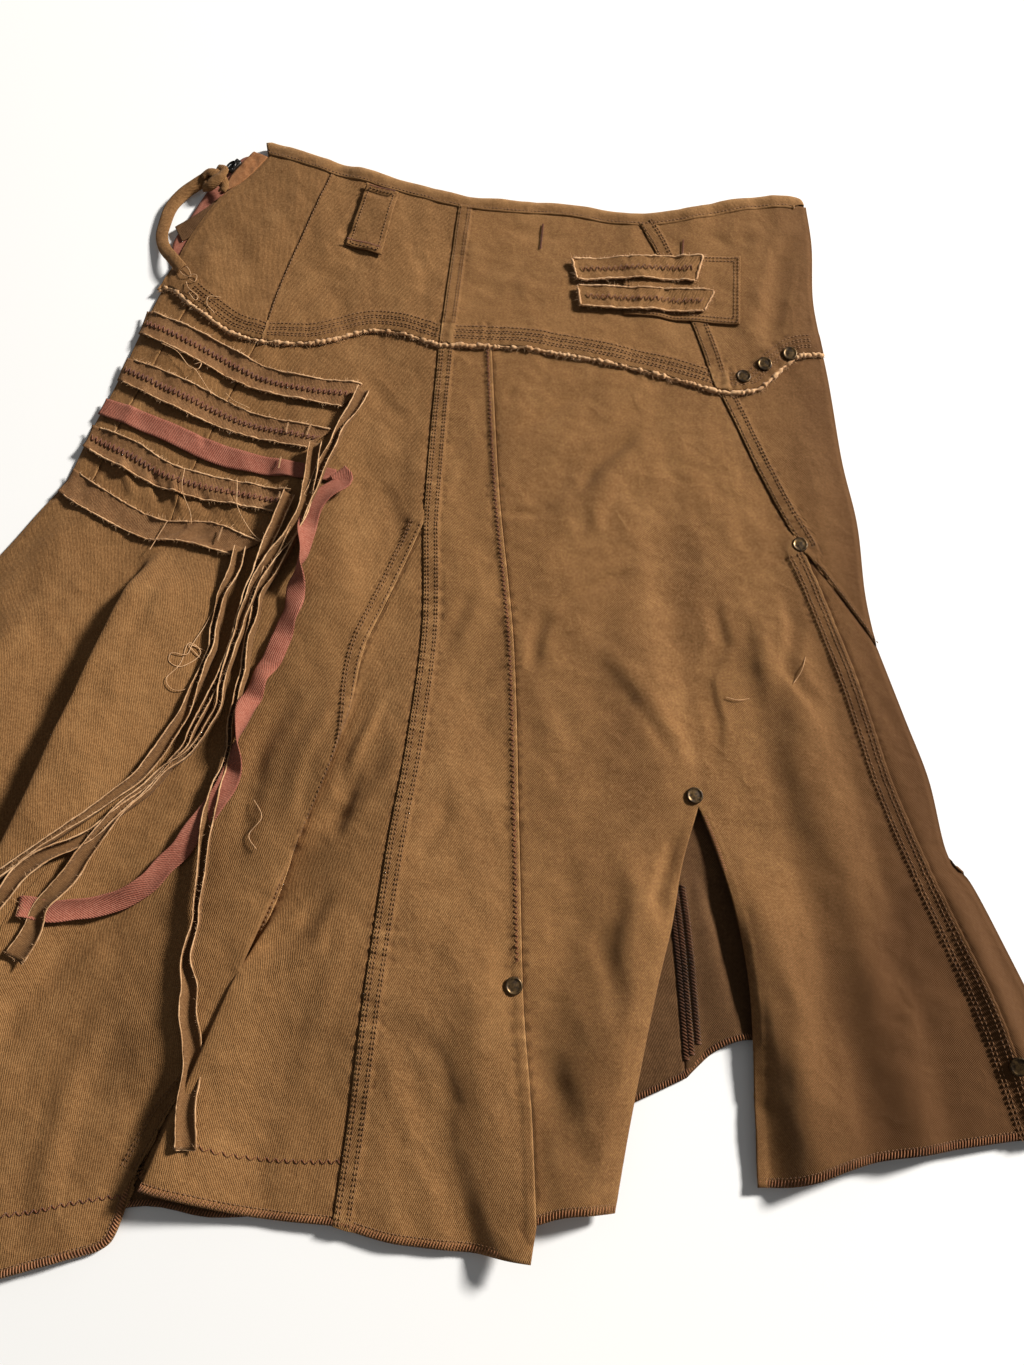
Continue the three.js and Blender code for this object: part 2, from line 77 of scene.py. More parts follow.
# %% Lines
LINES = {
    "waist": [(-178, 577), (-170, 582), (-157, 578), (-99, 555), (-36, 535), (33, 528), (84, 520),
        (112, 522), (143, 529), (171, 534), (195, 534), (201, 527)],
    "opening": [(-171, 570), (-178, 559), (-188, 548), (-200, 536), (-210, 519), (-219, 500),
        (-226, 480)],
    "left_yoke_tip": [(-226, 480), (-235, 459)],
    "left_hip": [(-226, 480), (-239, 442), (-254, 390), (-266, 355), (-277, 317)],
    "left_flounce": [(-277, 317), (-290, 299), (-310, 269), (-350, 215), (-385, 150), (-412, 80),
        (-428, 20), (-436, -22)],
    "right_yoke": [(201, 527), (202, 494), (199, 450), (202, 409)],
    "right_hip": [(200, 432), (204, 390), (207, 332), (212, 288), (212, 242), (215, 209)],
    "right_godet": [(215, 209), (227, 163), (236, 128), (241, 86), (252, 70), (266, 35), (278, 2),
        (287, -30), (289, -56)],
    "yoke_edge_side": [(-235, 459), (-226, 460), (-209, 444), (-183, 424), (-162, 416)],
    "yoke_edge_left": [(-162, 416), (-126, 416), (-98, 425), (-79, 425), (-47, 414)],
    "yoke_edge_centre": [(-47, 414), (0, 412), (50, 403), (96, 391), (130, 380)],
    "yoke_edge_right": [(130, 380), (142, 379), (158, 382), (169, 393), (184, 406), (202, 409)],
    "yoke_seam_side": [(-124, 555), (-134, 523), (-152, 467), (-162, 416)],
    "yoke_seam_main": [(-36, 525), (-41, 479), (-47, 414)],
    "yoke_seam_right": [(86, 510), (97, 486), (118, 428), (130, 380)],
    "seam_side": [(-203, 470), (-232, 399), (-252, 346), (-262, 310)],
    "seam_hip": [(-158, 434), (-177, 386), (-204, 307), (-210, 282)],
    "seam_tails": [(-167, 271), (-173, 206), (-199, 133), (-223, 102), (-250, 72), (-268, 35),
        (-266, -20), (-253, -122)],
    "seam_main_top": [(-46, 434), (-51, 353), (-54, 286)],
    "seam_main": [(-54, 286), (-53, 218), (-59, 145), (-68, 83), (-78, -1), (-89, -98)],
    "seam_zigzag": [(-14, 430), (-8, 311), (1, 210), (4, 100), (6, 10), (10, -45), (12, -97)],
    "seam_godet": [(-54, 286), (-68, 252), (-90, 195), (-101, 143), (-115, 103), (-138, 28),
        (-162, -17), (-190, -75)],
    "seam_right": [(126, 402), (135, 373), (160, 304), (176, 268)],
    "seam_godet_top": [(176, 268), (192, 246), (215, 209)],
    "seam_godet_right": [(176, 268), (185, 242), (202, 180), (213, 129), (234, 61), (254, 3),
        (268, -58)],
    "above_slit": [(62, 418), (84, 300), (98, 190), (104, 112)],
    "slit_left": [(104, 112), (93, 79), (86, 49), (76, 14), (61, -46), (51, -92)],
    "slit_right": [(104, 112), (113, 84), (121, 47), (125, 5), (124, -40), (123, -81)],
    "band_top": [(-273, 325), (-251, 309), (-215, 289), (-183, 286), (-151, 273)],
    "band_side": [(-277, 317), (-262, 310)],
    "band_hip": [(-262, 310), (-233, 291), (-210, 282)],
    "band_front": [(-210, 282), (-190, 281), (-167, 271)],
    "band_bottom": [(-281, 310), (-264, 298), (-224, 277), (-201, 274), (-169, 265)],
    "hem_flounce": [(-436, -22), (-405, -72), (-350, -106), (-300, -119), (-253, -122)],
    "hem_left": [(-253, -122), (-222, -114), (-203, -109), (-196, -100), (-190, -75)],
    "hem_godet": [(-190, -75), (-176, -84), (-130, -94), (-89, -98)],
    "hem_centre": [(-89, -98), (-58, -106), (-12, -111), (9, -113)],
    "hem_front_left": [(12, -97), (28, -93), (51, -92)],
    "hem_front_right": [(123, -81), (142, -80), (177, -70), (226, -63), (268, -58)],
    "hem_godet_right": [(268, -58), (289, -56)],
    "back_hem_left": [(-436, -22), (-400, -70), (-330, -99), (-250, -104), (-189, -90), (-149, -95),
        (-106, -91), (-31, -76), (24, -60), (51, -47), (90, -30)],
    "back_hem_right": [(90, -30), (106, -17), (124, -11), (150, -16), (210, -34), (289, -56)],
    "back_seam": [(60, 517), (68, 400), (78, 200), (87, 53), (90, -30)],
}


def steps_along(line):
    """Length from a line's start to each of its points."""
    return np.r_[0, np.cumsum(np.linalg.norm(np.diff(line, axis=0), axis=1))]


def resample(line, count):
    """Points at equal shares of a line's length, straight between the line's own points."""
    along = steps_along(line)
    at = np.linspace(0, along[-1], count)
    return np.stack([np.interp(at, along, line[:, k]) for k in range(line.shape[1])], 1)


def length_of(line):
    """Sum of the steps from point to point."""
    return float(np.linalg.norm(np.diff(line, axis=0), axis=1).sum())


CUBIC_STEPS = 20  # fine points from one given point to the next, before they are evened out


def smooth_line(points, step=2.5):
    """A Catmull-Rom curve: between two points it is the cubic that runs, at each of them, parallel
    to the chord between that point's neighbours. Its points come back an equal step apart."""
    p = np.array(points, float)
    p = np.vstack([2 * p[0] - p[1], p, 2 * p[-1] - p[-2]])
    a, b, c, d = p[:-3], p[1:-2], p[2:-1], p[3:]
    t = np.linspace(0, 1, CUBIC_STEPS, endpoint=False)[:, None, None]
    cubic = 2 * b + (c - a) * t + (2 * a - 5 * b + 4 * c - d) * t**2 + (3 * b - a - 3 * c + d) * t**3
    fine = np.vstack([(cubic / 2).transpose(1, 0, 2).reshape(-1, p.shape[1]), p[-2]])
    return resample(fine, max(2, round(length_of(fine) / step) + 1))


def run(*names):
    """Named lines laid end to end."""
    return np.vstack([smooth_line(LINES[name]) for name in names])


def square_to(line):
    """Unit steps square to a line's run, to its right."""
    along = np.gradient(line, axis=0)
    return np.stack([along[:, 1], -along[:, 0]], 1) / np.linalg.norm(along, axis=1)[:, None]


def beside(line, distance):
    """The line moved square to its run, to its right."""
    return line + square_to(line) * distance


main_length = round(length_of(run("seam_main_top", "seam_main")))
print(len(LINES), "lines, the main seam is", main_length, "mm")

# %% [markdown]
# ## Folds
# The front lies on the back in soft folds. A fold is a cosine hump along a line: half a wave wide on
# its west side, half a wave on its east side, eased in and out along its length. Adding the humps
# gives the height of the cloth at every point, so neighbouring panels rise together. Where a fold
# leans, its crest also moves sideways over the valley, which gives the dark, sharp edge of a flap.

# %% Table of folds
# From x1, y1 to x2, y2, with the middle moved aside by the bow. West and east are the widths on its
# two sides, and high is the crest's height. Enter and leave are the shares of its length in which it
# comes up and dies away. Lean is how far the crest moves sideways. All but the shares are millimetres.
FOLD_COLUMNS = ("x1", "y1", "x2", "y2", "bow", "west", "east", "high", "enter", "leave", "lean")
FOLDS = [dict(zip(FOLD_COLUMNS, row)) for row in [
    (-262, 305, -375, -70, -6, 44, 44, 12, 0.35, 0, 0),
    (-207, 274, -318, -60, 0, 12, 60, 16, 0.12, 0.3, -5),
    (-85, 215, -185, -50, 0, 56, 13, 12, 0.3, 0.2, 13),
    (-112, 76, -176, -90, 0, 12, 46, 11, 0.4, 0, -9),
    (-60, 225, -92, -60, 0, 58, 85, 12, 0.35, 0.3, 0),
    (-150, 60, -196, -96, 0, 22, 12, -4, 0.3, 0, 0),
    (-120, 380, -98, 170, 0, 42, 38, 5, 0.4, 0.4, 0),
    (-66, 158, -114, 84, 4, 12, 12, -3, 0.3, 0.3, 0),
    (-66, 14, -30, -80, 0, 14, 14, -2.5, 0.3, 0, 0),
    (-30, 110, -2, -110, 0, 24, 26, 5, 0.5, 0, 0),
    (112, 384, 2, 300, 0, 16, 16, -2.5, 0.3, 0.3, 0),
    (100, 350, 6, 268, 0, 18, 18, 3, 0.3, 0.3, 0),
    (62, 250, 74, 90, 14, 36, 28, 5.5, 0.4, 0.4, 0),
    (100, 330, 108, 140, -10, 20, 22, -2.5, 0.3, 0.3, 0),
    (86, 96, 34, -96, 0, 44, 24, 10, 0.3, 0, 0),
    (124, 96, 156, -84, 0, 24, 44, 11, 0.35, 0, 0),
    (150, 250, 206, -70, 0, 27, 24, 7, 0.35, 0, 0),
    (222, 150, 276, -50, 0, 20, 18, 7, 0.4, 0, 0),
    (170, 470, 150, 400, 0, 20, 20, 2, 0.4, 0.4, 0),
]]

# %% Table of creases
# A crease follows a line of points. It is a narrow fold, up where high is over nothing and down where
# it is under.
CREASE_COLUMNS = ("line", "west", "east", "high")
CREASES = [dict(zip(CREASE_COLUMNS, row)) for row in [
    ([(65, 390), (42, 378), (9, 357), (0, 344)], 8, 6, -1.5),
    ([(100, 372), (70, 352), (40, 336)], 9, 8, 1.2),
    ([(81, 352), (56, 333), (45, 317), (39, 297)], 9, 6, -1.9),
    ([(66, 322), (52, 296), (50, 270)], 8, 9, 1.2),
    ([(-5, 291), (3, 295), (19, 293)], 4, 4, -1.2),
    ([(3, 381), (-6, 374)], 4, 4, -0.9),
    ([(-23, 352), (-31, 344), (-42, 337)], 5, 4, -1.0),
    ([(-28, 318), (-40, 306)], 5, 5, -0.7),
    ([(22, 236), (14, 214), (11, 188)], 8, 7, -1.9),
    ([(77, 259), (39, 241), (26, 229)], 8, 6, -1.5),
    ([(50, 212), (66, 188), (92, 150), (102, 124)], 11, 9, 1.7),
    ([(62, 190), (80, 162), (94, 133)], 11, 9, -1.1),
    ([(118, 252), (124, 209), (112, 186), (118, 158), (112, 124)], 6, 9, -2.2),
    ([(161, 250), (166, 220), (159, 193), (185, 150)], 9, 7, -2.0),
    ([(146, 232), (146, 196), (150, 168)], 9, 8, 1.4),
    ([(51, 163), (73, 175)], 5, 5, -1.0),
    ([(103, 100), (88, 90), (78, 63), (81, 41)], 9, 6, -2.6),
    ([(60, 90), (66, 60), (58, 20)], 10, 9, 1.4),
    ([(60, 61), (47, 39), (54, 15), (52, -14)], 10, 9, -1.4),
    ([(184, 76), (190, 48), (203, 19), (195, -13), (204, -40)], 13, 15, -2.0),
    ([(158, 24), (166, -50)], 9, 10, -1.3),
    ([(132, 60), (146, 10), (150, -60)], 10, 10, 1.4),
    ([(232, 148), (238, 119), (243, 100)], 7, 5, -1.6),
    ([(216, 192), (226, 168)], 5, 5, -0.9),
    ([(-29, 121), (-41, 102), (-52, 79)], 10, 8, -1.6),
    ([(-20, 250), (-34, 222), (-40, 196)], 8, 7, -1.1),
    ([(-44, 166), (-22, 180), (-4, 196)], 5, 7, -1.2),
    ([(-55, 4), (-39, -20), (-32, -41), (-38, -66)], 9, 10, -1.7),
    ([(10, -6), (27, -45), (35, -71), (37, -92)], 13, 15, -1.3),
    ([(-91, 112), (-99, 93)], 8, 8, -1.0),
    ([(-84, 145), (-94, 113), (-115, 97)], 9, 11, -1.9),
    ([(-72, 176), (-88, 138), (-92, 120)], 5, 6, 1.5),
    ([(-94, 68), (-112, 42), (-139, 24)], 9, 8, -2.5),
    ([(-98, 52), (-100, 34), (-120, 20)], 6, 6, 1.4),
    ([(-84, 60), (-96, 10), (-118, -60)], 10, 9, 1.1),
    ([(-118, 196), (-146, 150), (-153, 112), (-160, 66)], 8, 8, -2.2),
    ([(-104, 186), (-128, 142), (-136, 96)], 7, 7, 1.2),
    ([(-198, 78), (-232, 42), (-259, 6), (-272, -30)], 14, 12, -3.4),
    ([(-205, 30), (-226, -30), (-238, -110)], 12, 12, 1.8),
    ([(-100, 400), (-80, 372), (-60, 352)], 7, 8, -0.9),
    ([(-150, 350), (-132, 300), (-128, 262)], 9, 10, 1.4),
    ([(-86, 330), (-70, 288), (-66, 256)], 8, 8, -0.9),
    ([(-214, 254), (-240, 180), (-262, 118)], 11, 13, 1.2),
    ([(-200, 262), (-210, 222), (-226, 180)], 6, 7, -0.8),
    ([(-290, 250), (-318, 180), (-338, 110)], 14, 14, -1.6),
    ([(-350, 120), (-384, 20), (-396, -50)], 14, 14, -2.2),
    ([(-312, 60), (-322, -10), (-332, -96)], 14, 14, -1.8),
    ([(-246, 338), (-238, 318), (-230, 300)], 4, 5, 1.6),
    ([(-226, 330), (-220, 312), (-214, 296)], 4, 4, -1.6),
    ([(-212, 322), (-206, 306), (-200, 292)], 4, 5, 1.5),
    ([(-196, 314), (-188, 300), (-180, 288)], 4, 4, -1.2),
    ([(-178, 310), (-168, 296), (-162, 282)], 4, 5, 1.2),
    ([(-244, 372), (-238, 362)], 4, 4, 0.8),
    ([(-196, 350), (-190, 338)], 4, 4, -0.8),
    ([(192, 508), (178, 468), (162, 404)], 11, 13, -2.6),
    ([(198, 500), (196, 466), (186, 430)], 7, 6, 1.8),
    ([(130, 500), (148, 494), (170, 500)], 7, 7, -0.8),
    ([(-140, 548), (-160, 506), (-186, 470)], 14, 14, 0.9),
    ([(-118, 520), (-96, 468)], 8, 8, -0.6),
    ([(-20, 512), (20, 500), (50, 498)], 7, 7, -0.6),
    ([(-24, 474), (10, 458), (34, 450)], 8, 7, 0.7),
    ([(-70, 500), (-58, 470), (-56, 440)], 7, 7, -0.6),
]]
for crease in CREASES:
    crease["line"] = np.array(crease["line"], float)
CREASE_DEPTH = 1.35  # the table's heights are shares of this many millimetres
CREASE_ENDS = 0.35  # share of a crease's length in which it comes up, and in which it dies away

# %% Height of the cloth
# Four ripples run all over the front. A ripple's noise is read at (x + skew y, along y + turn x).
RIPPLE_COLUMNS = ("high", "skew", "along", "turn", "size", "seed")
RIPPLES = [dict(zip(RIPPLE_COLUMNS, row)) for row in [
    (1.3, 0.3, 0.45, 0, 36, 11),
    (0.8, -0.4, 0.7, 0, 17, 12),
    (0.28, 0.7, 1, -0.3, 9, 13),
    (0.5, 0.25, 0.3, 0, 12, 14),
]]
SEAT = 3.5  # top of the front's lowest layer over the surface, where nothing folds
LOFT = 2.5  # air that lifts the front off the back away from its sides
FLOOR_BEND = 2  # the larger, the more sharply the soft floor under the valleys bends
SIDE_SLOPE = 26  # from a side, the front takes this much to reach its full height
TUCK, TUCK_REACH = 1.2, 4  # and turns under by this much within this much of the side
SIDES = ("opening", "left_hip", "left_flounce", "right_yoke", "right_hip", "right_godet")


def ease(share):
    """3t² - 2t³ of the share held between 0 and 1: flat at both ends, steep in the middle."""
    t = np.clip(share, 0, 1)
    return t * t * (3 - 2 * t)


def swell(across, west, east):
    """Half of one plus the cosine of the distance across, over the width on its own side."""
    return (1 + np.cos(np.pi * np.clip(across / np.where(across > 0, east, west), -1, 1))) / 2


def hump(fold, x, y):
    """0 to 1: the swell across a straight or bowed line, eased in and out along it."""
    dx, dy = fold["x2"] - fold["x1"], fold["y2"] - fold["y1"]
    length = math.hypot(dx, dy)
    share = ((x - fold["x1"]) * dx + (y - fold["y1"]) * dy) / length**2
    across = ((y - fold["y1"]) * dx - (x - fold["x1"]) * dy) / length
    across = across - fold["bow"] * 4 * share * (1 - share)
    along = ease(share / fold["enter"])
    if fold["leave"]:
        along = along * ease((1 - share) / fold["leave"])
    return along * swell(across, fold["west"], fold["east"])


def nearest(x, y, line):
    """Signed distance to a line, positive on the right of its run, and the place along it. Each
    segment's nearest point is its start plus the held share of its vector."""
    best = np.full(x.shape, 1e9)
    side, place = np.zeros(x.shape), np.zeros(x.shape)
    start = 0.0
    for a, b in zip(line[:-1], line[1:]):
        step = b - a
        length = float(np.hypot(*step))
        share = np.clip(((x - a[0]) * step[0] + (y - a[1]) * step[1]) / length**2, 0, 1)
        off_x, off_y = x - a[0] - share * step[0], y - a[1] - share * step[1]
        distance = np.hypot(off_x, off_y)
        closer = distance < best
        best = np.where(closer, distance, best)
        side = np.where(closer, np.sign(off_x * step[1] - off_y * step[0]), side)
        place = np.where(closer, start + share * length, place)
        start += length
    return best * np.where(side == 0, 1, side), place


NOISE_CELLS = 64  # the grid of random numbers repeats after this many cells


def ripple(x, y, size, seed):
    """Smooth noise from -1 to 1: random numbers on a square grid of that size, mixed between the
    four corners with the ease function."""
    numbers = np.random.default_rng(seed).uniform(-1, 1, (NOISE_CELLS, NOISE_CELLS))
    u, v = x / size, y / size
    i, j = np.floor(u).astype(int), np.floor(v).astype(int)
    s, t = ease(u - i), ease(v - j)
    at = lambda a, b: numbers[(i + a) % NOISE_CELLS, (j + b) % NOISE_CELLS]
    return (at(0, 0) * (1 - s) + at(1, 0) * s) * (1 - t) + (at(0, 1) * (1 - s) + at(1, 1) * s) * t


highest = max(fold["high"] for fold in FOLDS)
print(len(FOLDS), "folds and", len(CREASES), "creases, up to", highest, "mm high")

# %% [markdown]
# ## Seams in relief
# In a flat-felled seam four layers of cloth are stitched into a band about 10 mm wide. It stands
# proud of the panel on one side of its line and ends there in a crisp edge. Washing shrinks the
# thread more than the cloth, so short puckers cross the band, no two alike.

# %% Relief of the seams
BAND_COLUMNS = ("lines", "side", "width", "high", "pucker")
BAND_SHADE = 0.2  # how far a felled band is deeper in colour than the panel
BANDS = {
    "main": (("seam_main_top", "seam_main"), "left", 9.5, 0.9, 0.5),
    "godet": (("seam_godet",), "right", 9, 0.7, 0.42),
    "right": (("seam_right",), "left", 9.5, 0.8, 0.4),
    "godet right": (("seam_godet_right",), "right", 11, 0.8, 0.45),
    "godet top": (("seam_godet_top",), "left", 3, 0.5, 0.12),
    "zigzag": (("seam_zigzag",), "right", 5, 0.65, 0.45),
    "side": (("seam_side",), "right", 3, 0.4, 0.1),
    "hip": (("seam_hip",), "right", 3, 0.4, 0.1),
    "yoke main": (("yoke_seam_main",), "left", 9, 0.7, 0.35),
    "yoke side": (("yoke_seam_side",), "left", 2.5, 0.4, 0.12),
    "yoke right": (("yoke_seam_right",), "left", 10, 0.7, 0.35),
    "yoke edge": (("yoke_edge_side", "yoke_edge_left", "yoke_edge_centre", "yoke_edge_right"),
                  "left", 15, 0.6, 0.3),
    "slit": (("slit_left",), "right", 5, 0.4, 0.2),
    "slit right": (("slit_right",), "left", 5, 0.5, 0.2),
    "back": (("back_inner_seam",), "left", 9, 0.6, 0.2),
}
LINES["back_inner_seam"] = [(86, 70), (89, 30), (91, -26)]
BAND_STEP = 9  # millimetres between the points that stand for a band's line
BANDS = {name: dict(zip(BAND_COLUMNS, row)) for name, row in BANDS.items()}
for band in BANDS.values():
    line = run(*band["lines"])
    band["line"] = resample(line, max(3, round(length_of(line) / BAND_STEP)))
CRISP = 1.2  # millimetres in which a band's edge reaches its full height
PUCKER_TURN = 1.25  # millimetres of seam to one radian of a pucker's wave
PUCKER_REACH = 3.5  # how far beyond its band a pucker is felt
GROOVE, GROOVE_REACH = 0.4, 1.6  # depth and reach of the groove beside the edge
# How far the pale line on a band's crisp edge reaches: wear, with a painted highlight.
EDGE_WEAR_AND_HIGHLIGHT_REACH = 1.1


def bell(distance, reach):
    """1 at no distance, falling as e to the power of minus the square of distance over reach."""
    return np.exp(-((distance / reach) ** 2))


def relief(x, y, names):
    """Over the bands, the sum of: a plateau on the seam's own side, which starts with a crisp edge
    and ends softly; puckers, which are waves along the seam that fade with distance from it; and
    a groove just beyond the edge. The edge's wear and highlight comes back too: it is 1 on the crisp
    edge and dies out within a millimetre, and paints that edge paler, as wear and as a painted
    highlight. Shade is the plateaus' share, because thread and wash deepen the bands."""
    total, edge_wear_and_highlight, shade = np.zeros(x.shape), np.zeros(x.shape), np.zeros(x.shape)
    for name in names:
        band = BANDS[name]
        half = band["width"] / 2
        distance, place = nearest(x, y, band["line"])
        inside = distance * (1 if band["side"] == "right" else -1)
        plateau = np.where(inside < 0, 0, 0.75 + 0.25 * ease(inside / CRISP))
        plateau = plateau * ease((band["width"] + CRISP - inside) / (2 * CRISP))
        turn = place / PUCKER_TURN + 5 * ripple(place, place * 0, 17, 3)
        strength = 0.55 + 0.9 * ripple(place, place * 0, 13, 4)
        fade = bell(np.maximum(np.abs(inside - half) - half, 0), PUCKER_REACH)
        total += band["high"] * plateau + band["pucker"] * strength * np.sin(turn) * fade
        total -= GROOVE * bell(inside, GROOVE_REACH) * (inside < 0)
        edge_wear_and_highlight = np.maximum(edge_wear_and_highlight, bell(inside, EDGE_WEAR_AND_HIGHLIGHT_REACH) * (inside >= 0))
        shade = np.maximum(shade, plateau * (0.7 + 0.6 * ripple(place, inside, 5, 6)))
    return total, edge_wear_and_highlight, shade


# %% Lay the cloth on its folds
COARSE_SIDES = [resample(smooth_line(LINES[name]), 24) for name in SIDES]


def side_distance(x, y):
    """Distance to the nearest side of the laid skirt."""
    return np.min([np.abs(nearest(x, y, line)[0]) for line in COARSE_SIDES], axis=0)


def folded(x, y):
    """Height of the cloth's top, and how far it leans: the seat, plus the loft, folds, creases and
    ripples. A soft floor keeps the sum over nothing: the logarithm of one plus e to the power of the
    bend times the sum, over the bend. It eases to nothing at the sides, where the front turns under."""
    high = np.full(x.shape, LOFT)
    lean_x, lean_y = np.zeros(x.shape), np.zeros(x.shape)
    for fold in FOLDS:
        share = hump(fold, x, y)
        high += fold["high"] * share
        if fold["lean"]:
            dx, dy = fold["x2"] - fold["x1"], fold["y2"] - fold["y1"]
            push = fold["lean"] * share / math.hypot(dx, dy)
            lean_x -= push * dy
            lean_y += push * dx
    for crease in CREASES:
        across, place = nearest(x, y, crease["line"])
        length = length_of(crease["line"])
        ends = ease(place / (CREASE_ENDS * length)) * ease((length - place) / (CREASE_ENDS * length))
        high += CREASE_DEPTH * crease["high"] * swell(-across, crease["east"], crease["west"]) * ends
    for wave in RIPPLES:
        read_x, read_y = x + wave["skew"] * y, wave["along"] * y + wave["turn"] * x
        high += wave["high"] * ripple(read_x, read_y, wave["size"], wave["seed"])
    high = np.logaddexp(0, high * FLOOR_BEND) / FLOOR_BEND
    sides = side_distance(x, y)
    top = SEAT + high * ease(sides / SIDE_SLOPE) - TUCK * (1 - ease(sides / TUCK_REACH))
    return top, lean_x, lean_y


def laid(plan, lift=0.0, bands=(), inner=None):
    """Points of the pattern, in millimetres, put on the folded front and lifted by so much, in
    metres in the frame. The seams' relief is read at the inner points, which lie a hair inside the
    panel, so that two panels can stand at different heights along the seam that they share."""
    x, y = plan[..., 0], plan[..., 1]
    high, lean_x, lean_y = folded(x, y)
    inner = plan if inner is None else inner
    high = high + lift + relief(inner[..., 0], inner[..., 1], bands)[0]
    return np.stack([x + lean_x - MIDDLE[0], y + lean_y - MIDDLE[1], high], -1) / 1000


seam_height = folded(*run("seam_tails").T)[0]
print(len(BANDS), "seams in relief; the tails' seam rises to", round(float(seam_height.max()), 1), "mm")

# %% [markdown]
# ## Panels
# A panel of cloth has four edges. The surface between them could be filled in many ways. A Coons
# patch is the simplest that meets all four: the mix of left and right, plus the mix of top and
# bottom, less the mix of the corners. Its points are closer together near the side edges, where the
# seams' relief needs them.

# %% Patch and mesh
CLOTH = 1.0  # thickness of the panels, in millimetres
CELL = 2.3  # size of a mesh cell down a panel, in millimetres
CELL_ACROSS = 0.75  # share of that size across it
FINE_POINTS = 801


def at_shares(line, shares):
    """Points of a line at shares of its length from 0 to 1."""
    fine, even = resample(line, FINE_POINTS), np.linspace(0, 1, FINE_POINTS)
    return np.stack([np.interp(shares, even, column) for column in fine.T], 1)


def coons(top, bottom, left, right, cell=CELL, crowd=0.55, rows=None, columns=None):
    """u runs across and v down. (1-u) left + u right + (1-v) top + v bottom - the corners' mix.
    The columns crowd towards the sides by a sine. With rows given, left and right already hold the
    points of each row."""
    columns = columns or max(3, round(max(length_of(top), length_of(bottom)) / cell / CELL_ACROSS))
    even = np.linspace(0, 1, columns)
    u = even - crowd * np.sin(2 * np.pi * even) / (2 * np.pi)
    v = np.linspace(0, 1, rows or max(3, round(max(length_of(left), length_of(right)) / cell)))
    top, bottom = at_shares(top, u), at_shares(bottom, u)
    if rows is None:
        left, right = at_shares(left, v), at_shares(right, v)
    u, v = u[None, :, None], v[:, None, None]
    sides = (1 - u) * left[:, None] + u * right[:, None]
    ends = (1 - v) * top[None] + v * bottom[None]
    corners = (1 - v) * ((1 - u) * top[0] + u * top[-1]) + v * ((1 - u) * bottom[0] + u * bottom[-1])
    return sides + ends - corners


def straight(a, b):
    """A straight line between two points."""
    return np.array([a, b], float)


def between(upper, lower, cell):
    """An evenly spaced patch between two lines, with straight sides from end to end."""
    return coons(upper, lower, straight(upper[0], lower[0]), straight(upper[-1], lower[-1]),
                 cell=cell, crowd=0)


def grid_faces(rows, columns, wrap=False):
    """Corner numbers of each cell: down, right, up, so that the face looks up. Wrapped, the last
    column joins the first."""
    number = np.arange(rows * columns).reshape(rows, columns)
    if wrap:
        number = np.hstack([number, number[:, :1]])
    corners = [number[:-1, :-1], number[1:, :-1], number[1:, 1:], number[:-1, 1:]]
    return np.stack(corners, -1).reshape(-1, 4)


def mesh_object(name, points, quads, material, flat=None, tints=None):
    """One mesh from arrays. Points closer than a micrometre become one, and a quad that loses a
    corner so becomes a triangle. Flat is the UV map of the cut piece, and tints are named shares at
    each point that the material reads."""
    keys = np.round(points * 1e6).astype(np.int64)
    _, first, merged = np.unique(keys, axis=0, return_index=True, return_inverse=True)
    merged = merged.reshape(-1)
    now = merged[quads]
    double = now == np.roll(now, -1, axis=1)
    whole, cut = ~double.any(1), double.sum(1) == 1
    slim = quads[cut][~double[cut]].reshape(-1, 3)
    loops = np.r_[quads[whole].reshape(-1), slim.reshape(-1)]
    totals = np.r_[np.full(whole.sum(), 4), np.full(len(slim), 3)]
    mesh = bpy.data.meshes.new(name)
    mesh.vertices.add(len(first))
    mesh.vertices.foreach_set("co", points[first].astype(np.float32).reshape(-1))
    mesh.loops.add(len(loops))
    mesh.loops.foreach_set("vertex_index", merged[loops].astype(np.int32))
    mesh.polygons.add(len(totals))
    mesh.polygons.foreach_set("loop_start", np.r_[0, np.cumsum(totals)[:-1]].astype(np.int32))
    mesh.polygons.foreach_set("loop_total", totals.astype(np.int32))
    mesh.update(calc_edges=True)
    mesh.shade_smooth()
    if flat is not None:
        layer = mesh.uv_layers.new(name="flat")
        layer.data.foreach_set("uv", flat[loops].astype(np.float32).reshape(-1))
    for key, values in (tints or {}).items():
        attribute = mesh.attributes.new(key, "FLOAT", "POINT")
        attribute.data.foreach_set("value", values[first].astype(np.float32))
    mesh.materials.append(material)
    thing = bpy.data.objects.new(name, mesh)
    bpy.context.scene.collection.objects.link(thing)
    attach(thing, "root")
    return thing


def surface_area(grid):
    """Half the length of each cell's crossed diagonals, summed."""
    one, two = grid[1:, 1:] - grid[:-1, :-1], grid[1:, :-1] - grid[:-1, 1:]
    return float(np.linalg.norm(np.cross(one, two), axis=-1).sum() / 2)


# %% [markdown]
# ## Shared effects
# Twill has steep diagonal ribs, a colour that wash and wear have made uneven, with painted
# highlight and shade added to it, and fine creases that no mesh needs to hold. Each is a node
# group with named inputs, built once, and every cloth material places it with values of its own.

# %% Node helpers
def linear(red, green, blue):
    """A colour of 0 to 255 as the eye sees it, in the linear numbers that shaders use."""
    share = np.array([red, green, blue]) / 255
    made = np.where(share <= 0.04045, share / 12.92, ((share + 0.055) / 1.055) ** 2.4)
    return (*[float(c) for c in made], 1.0)


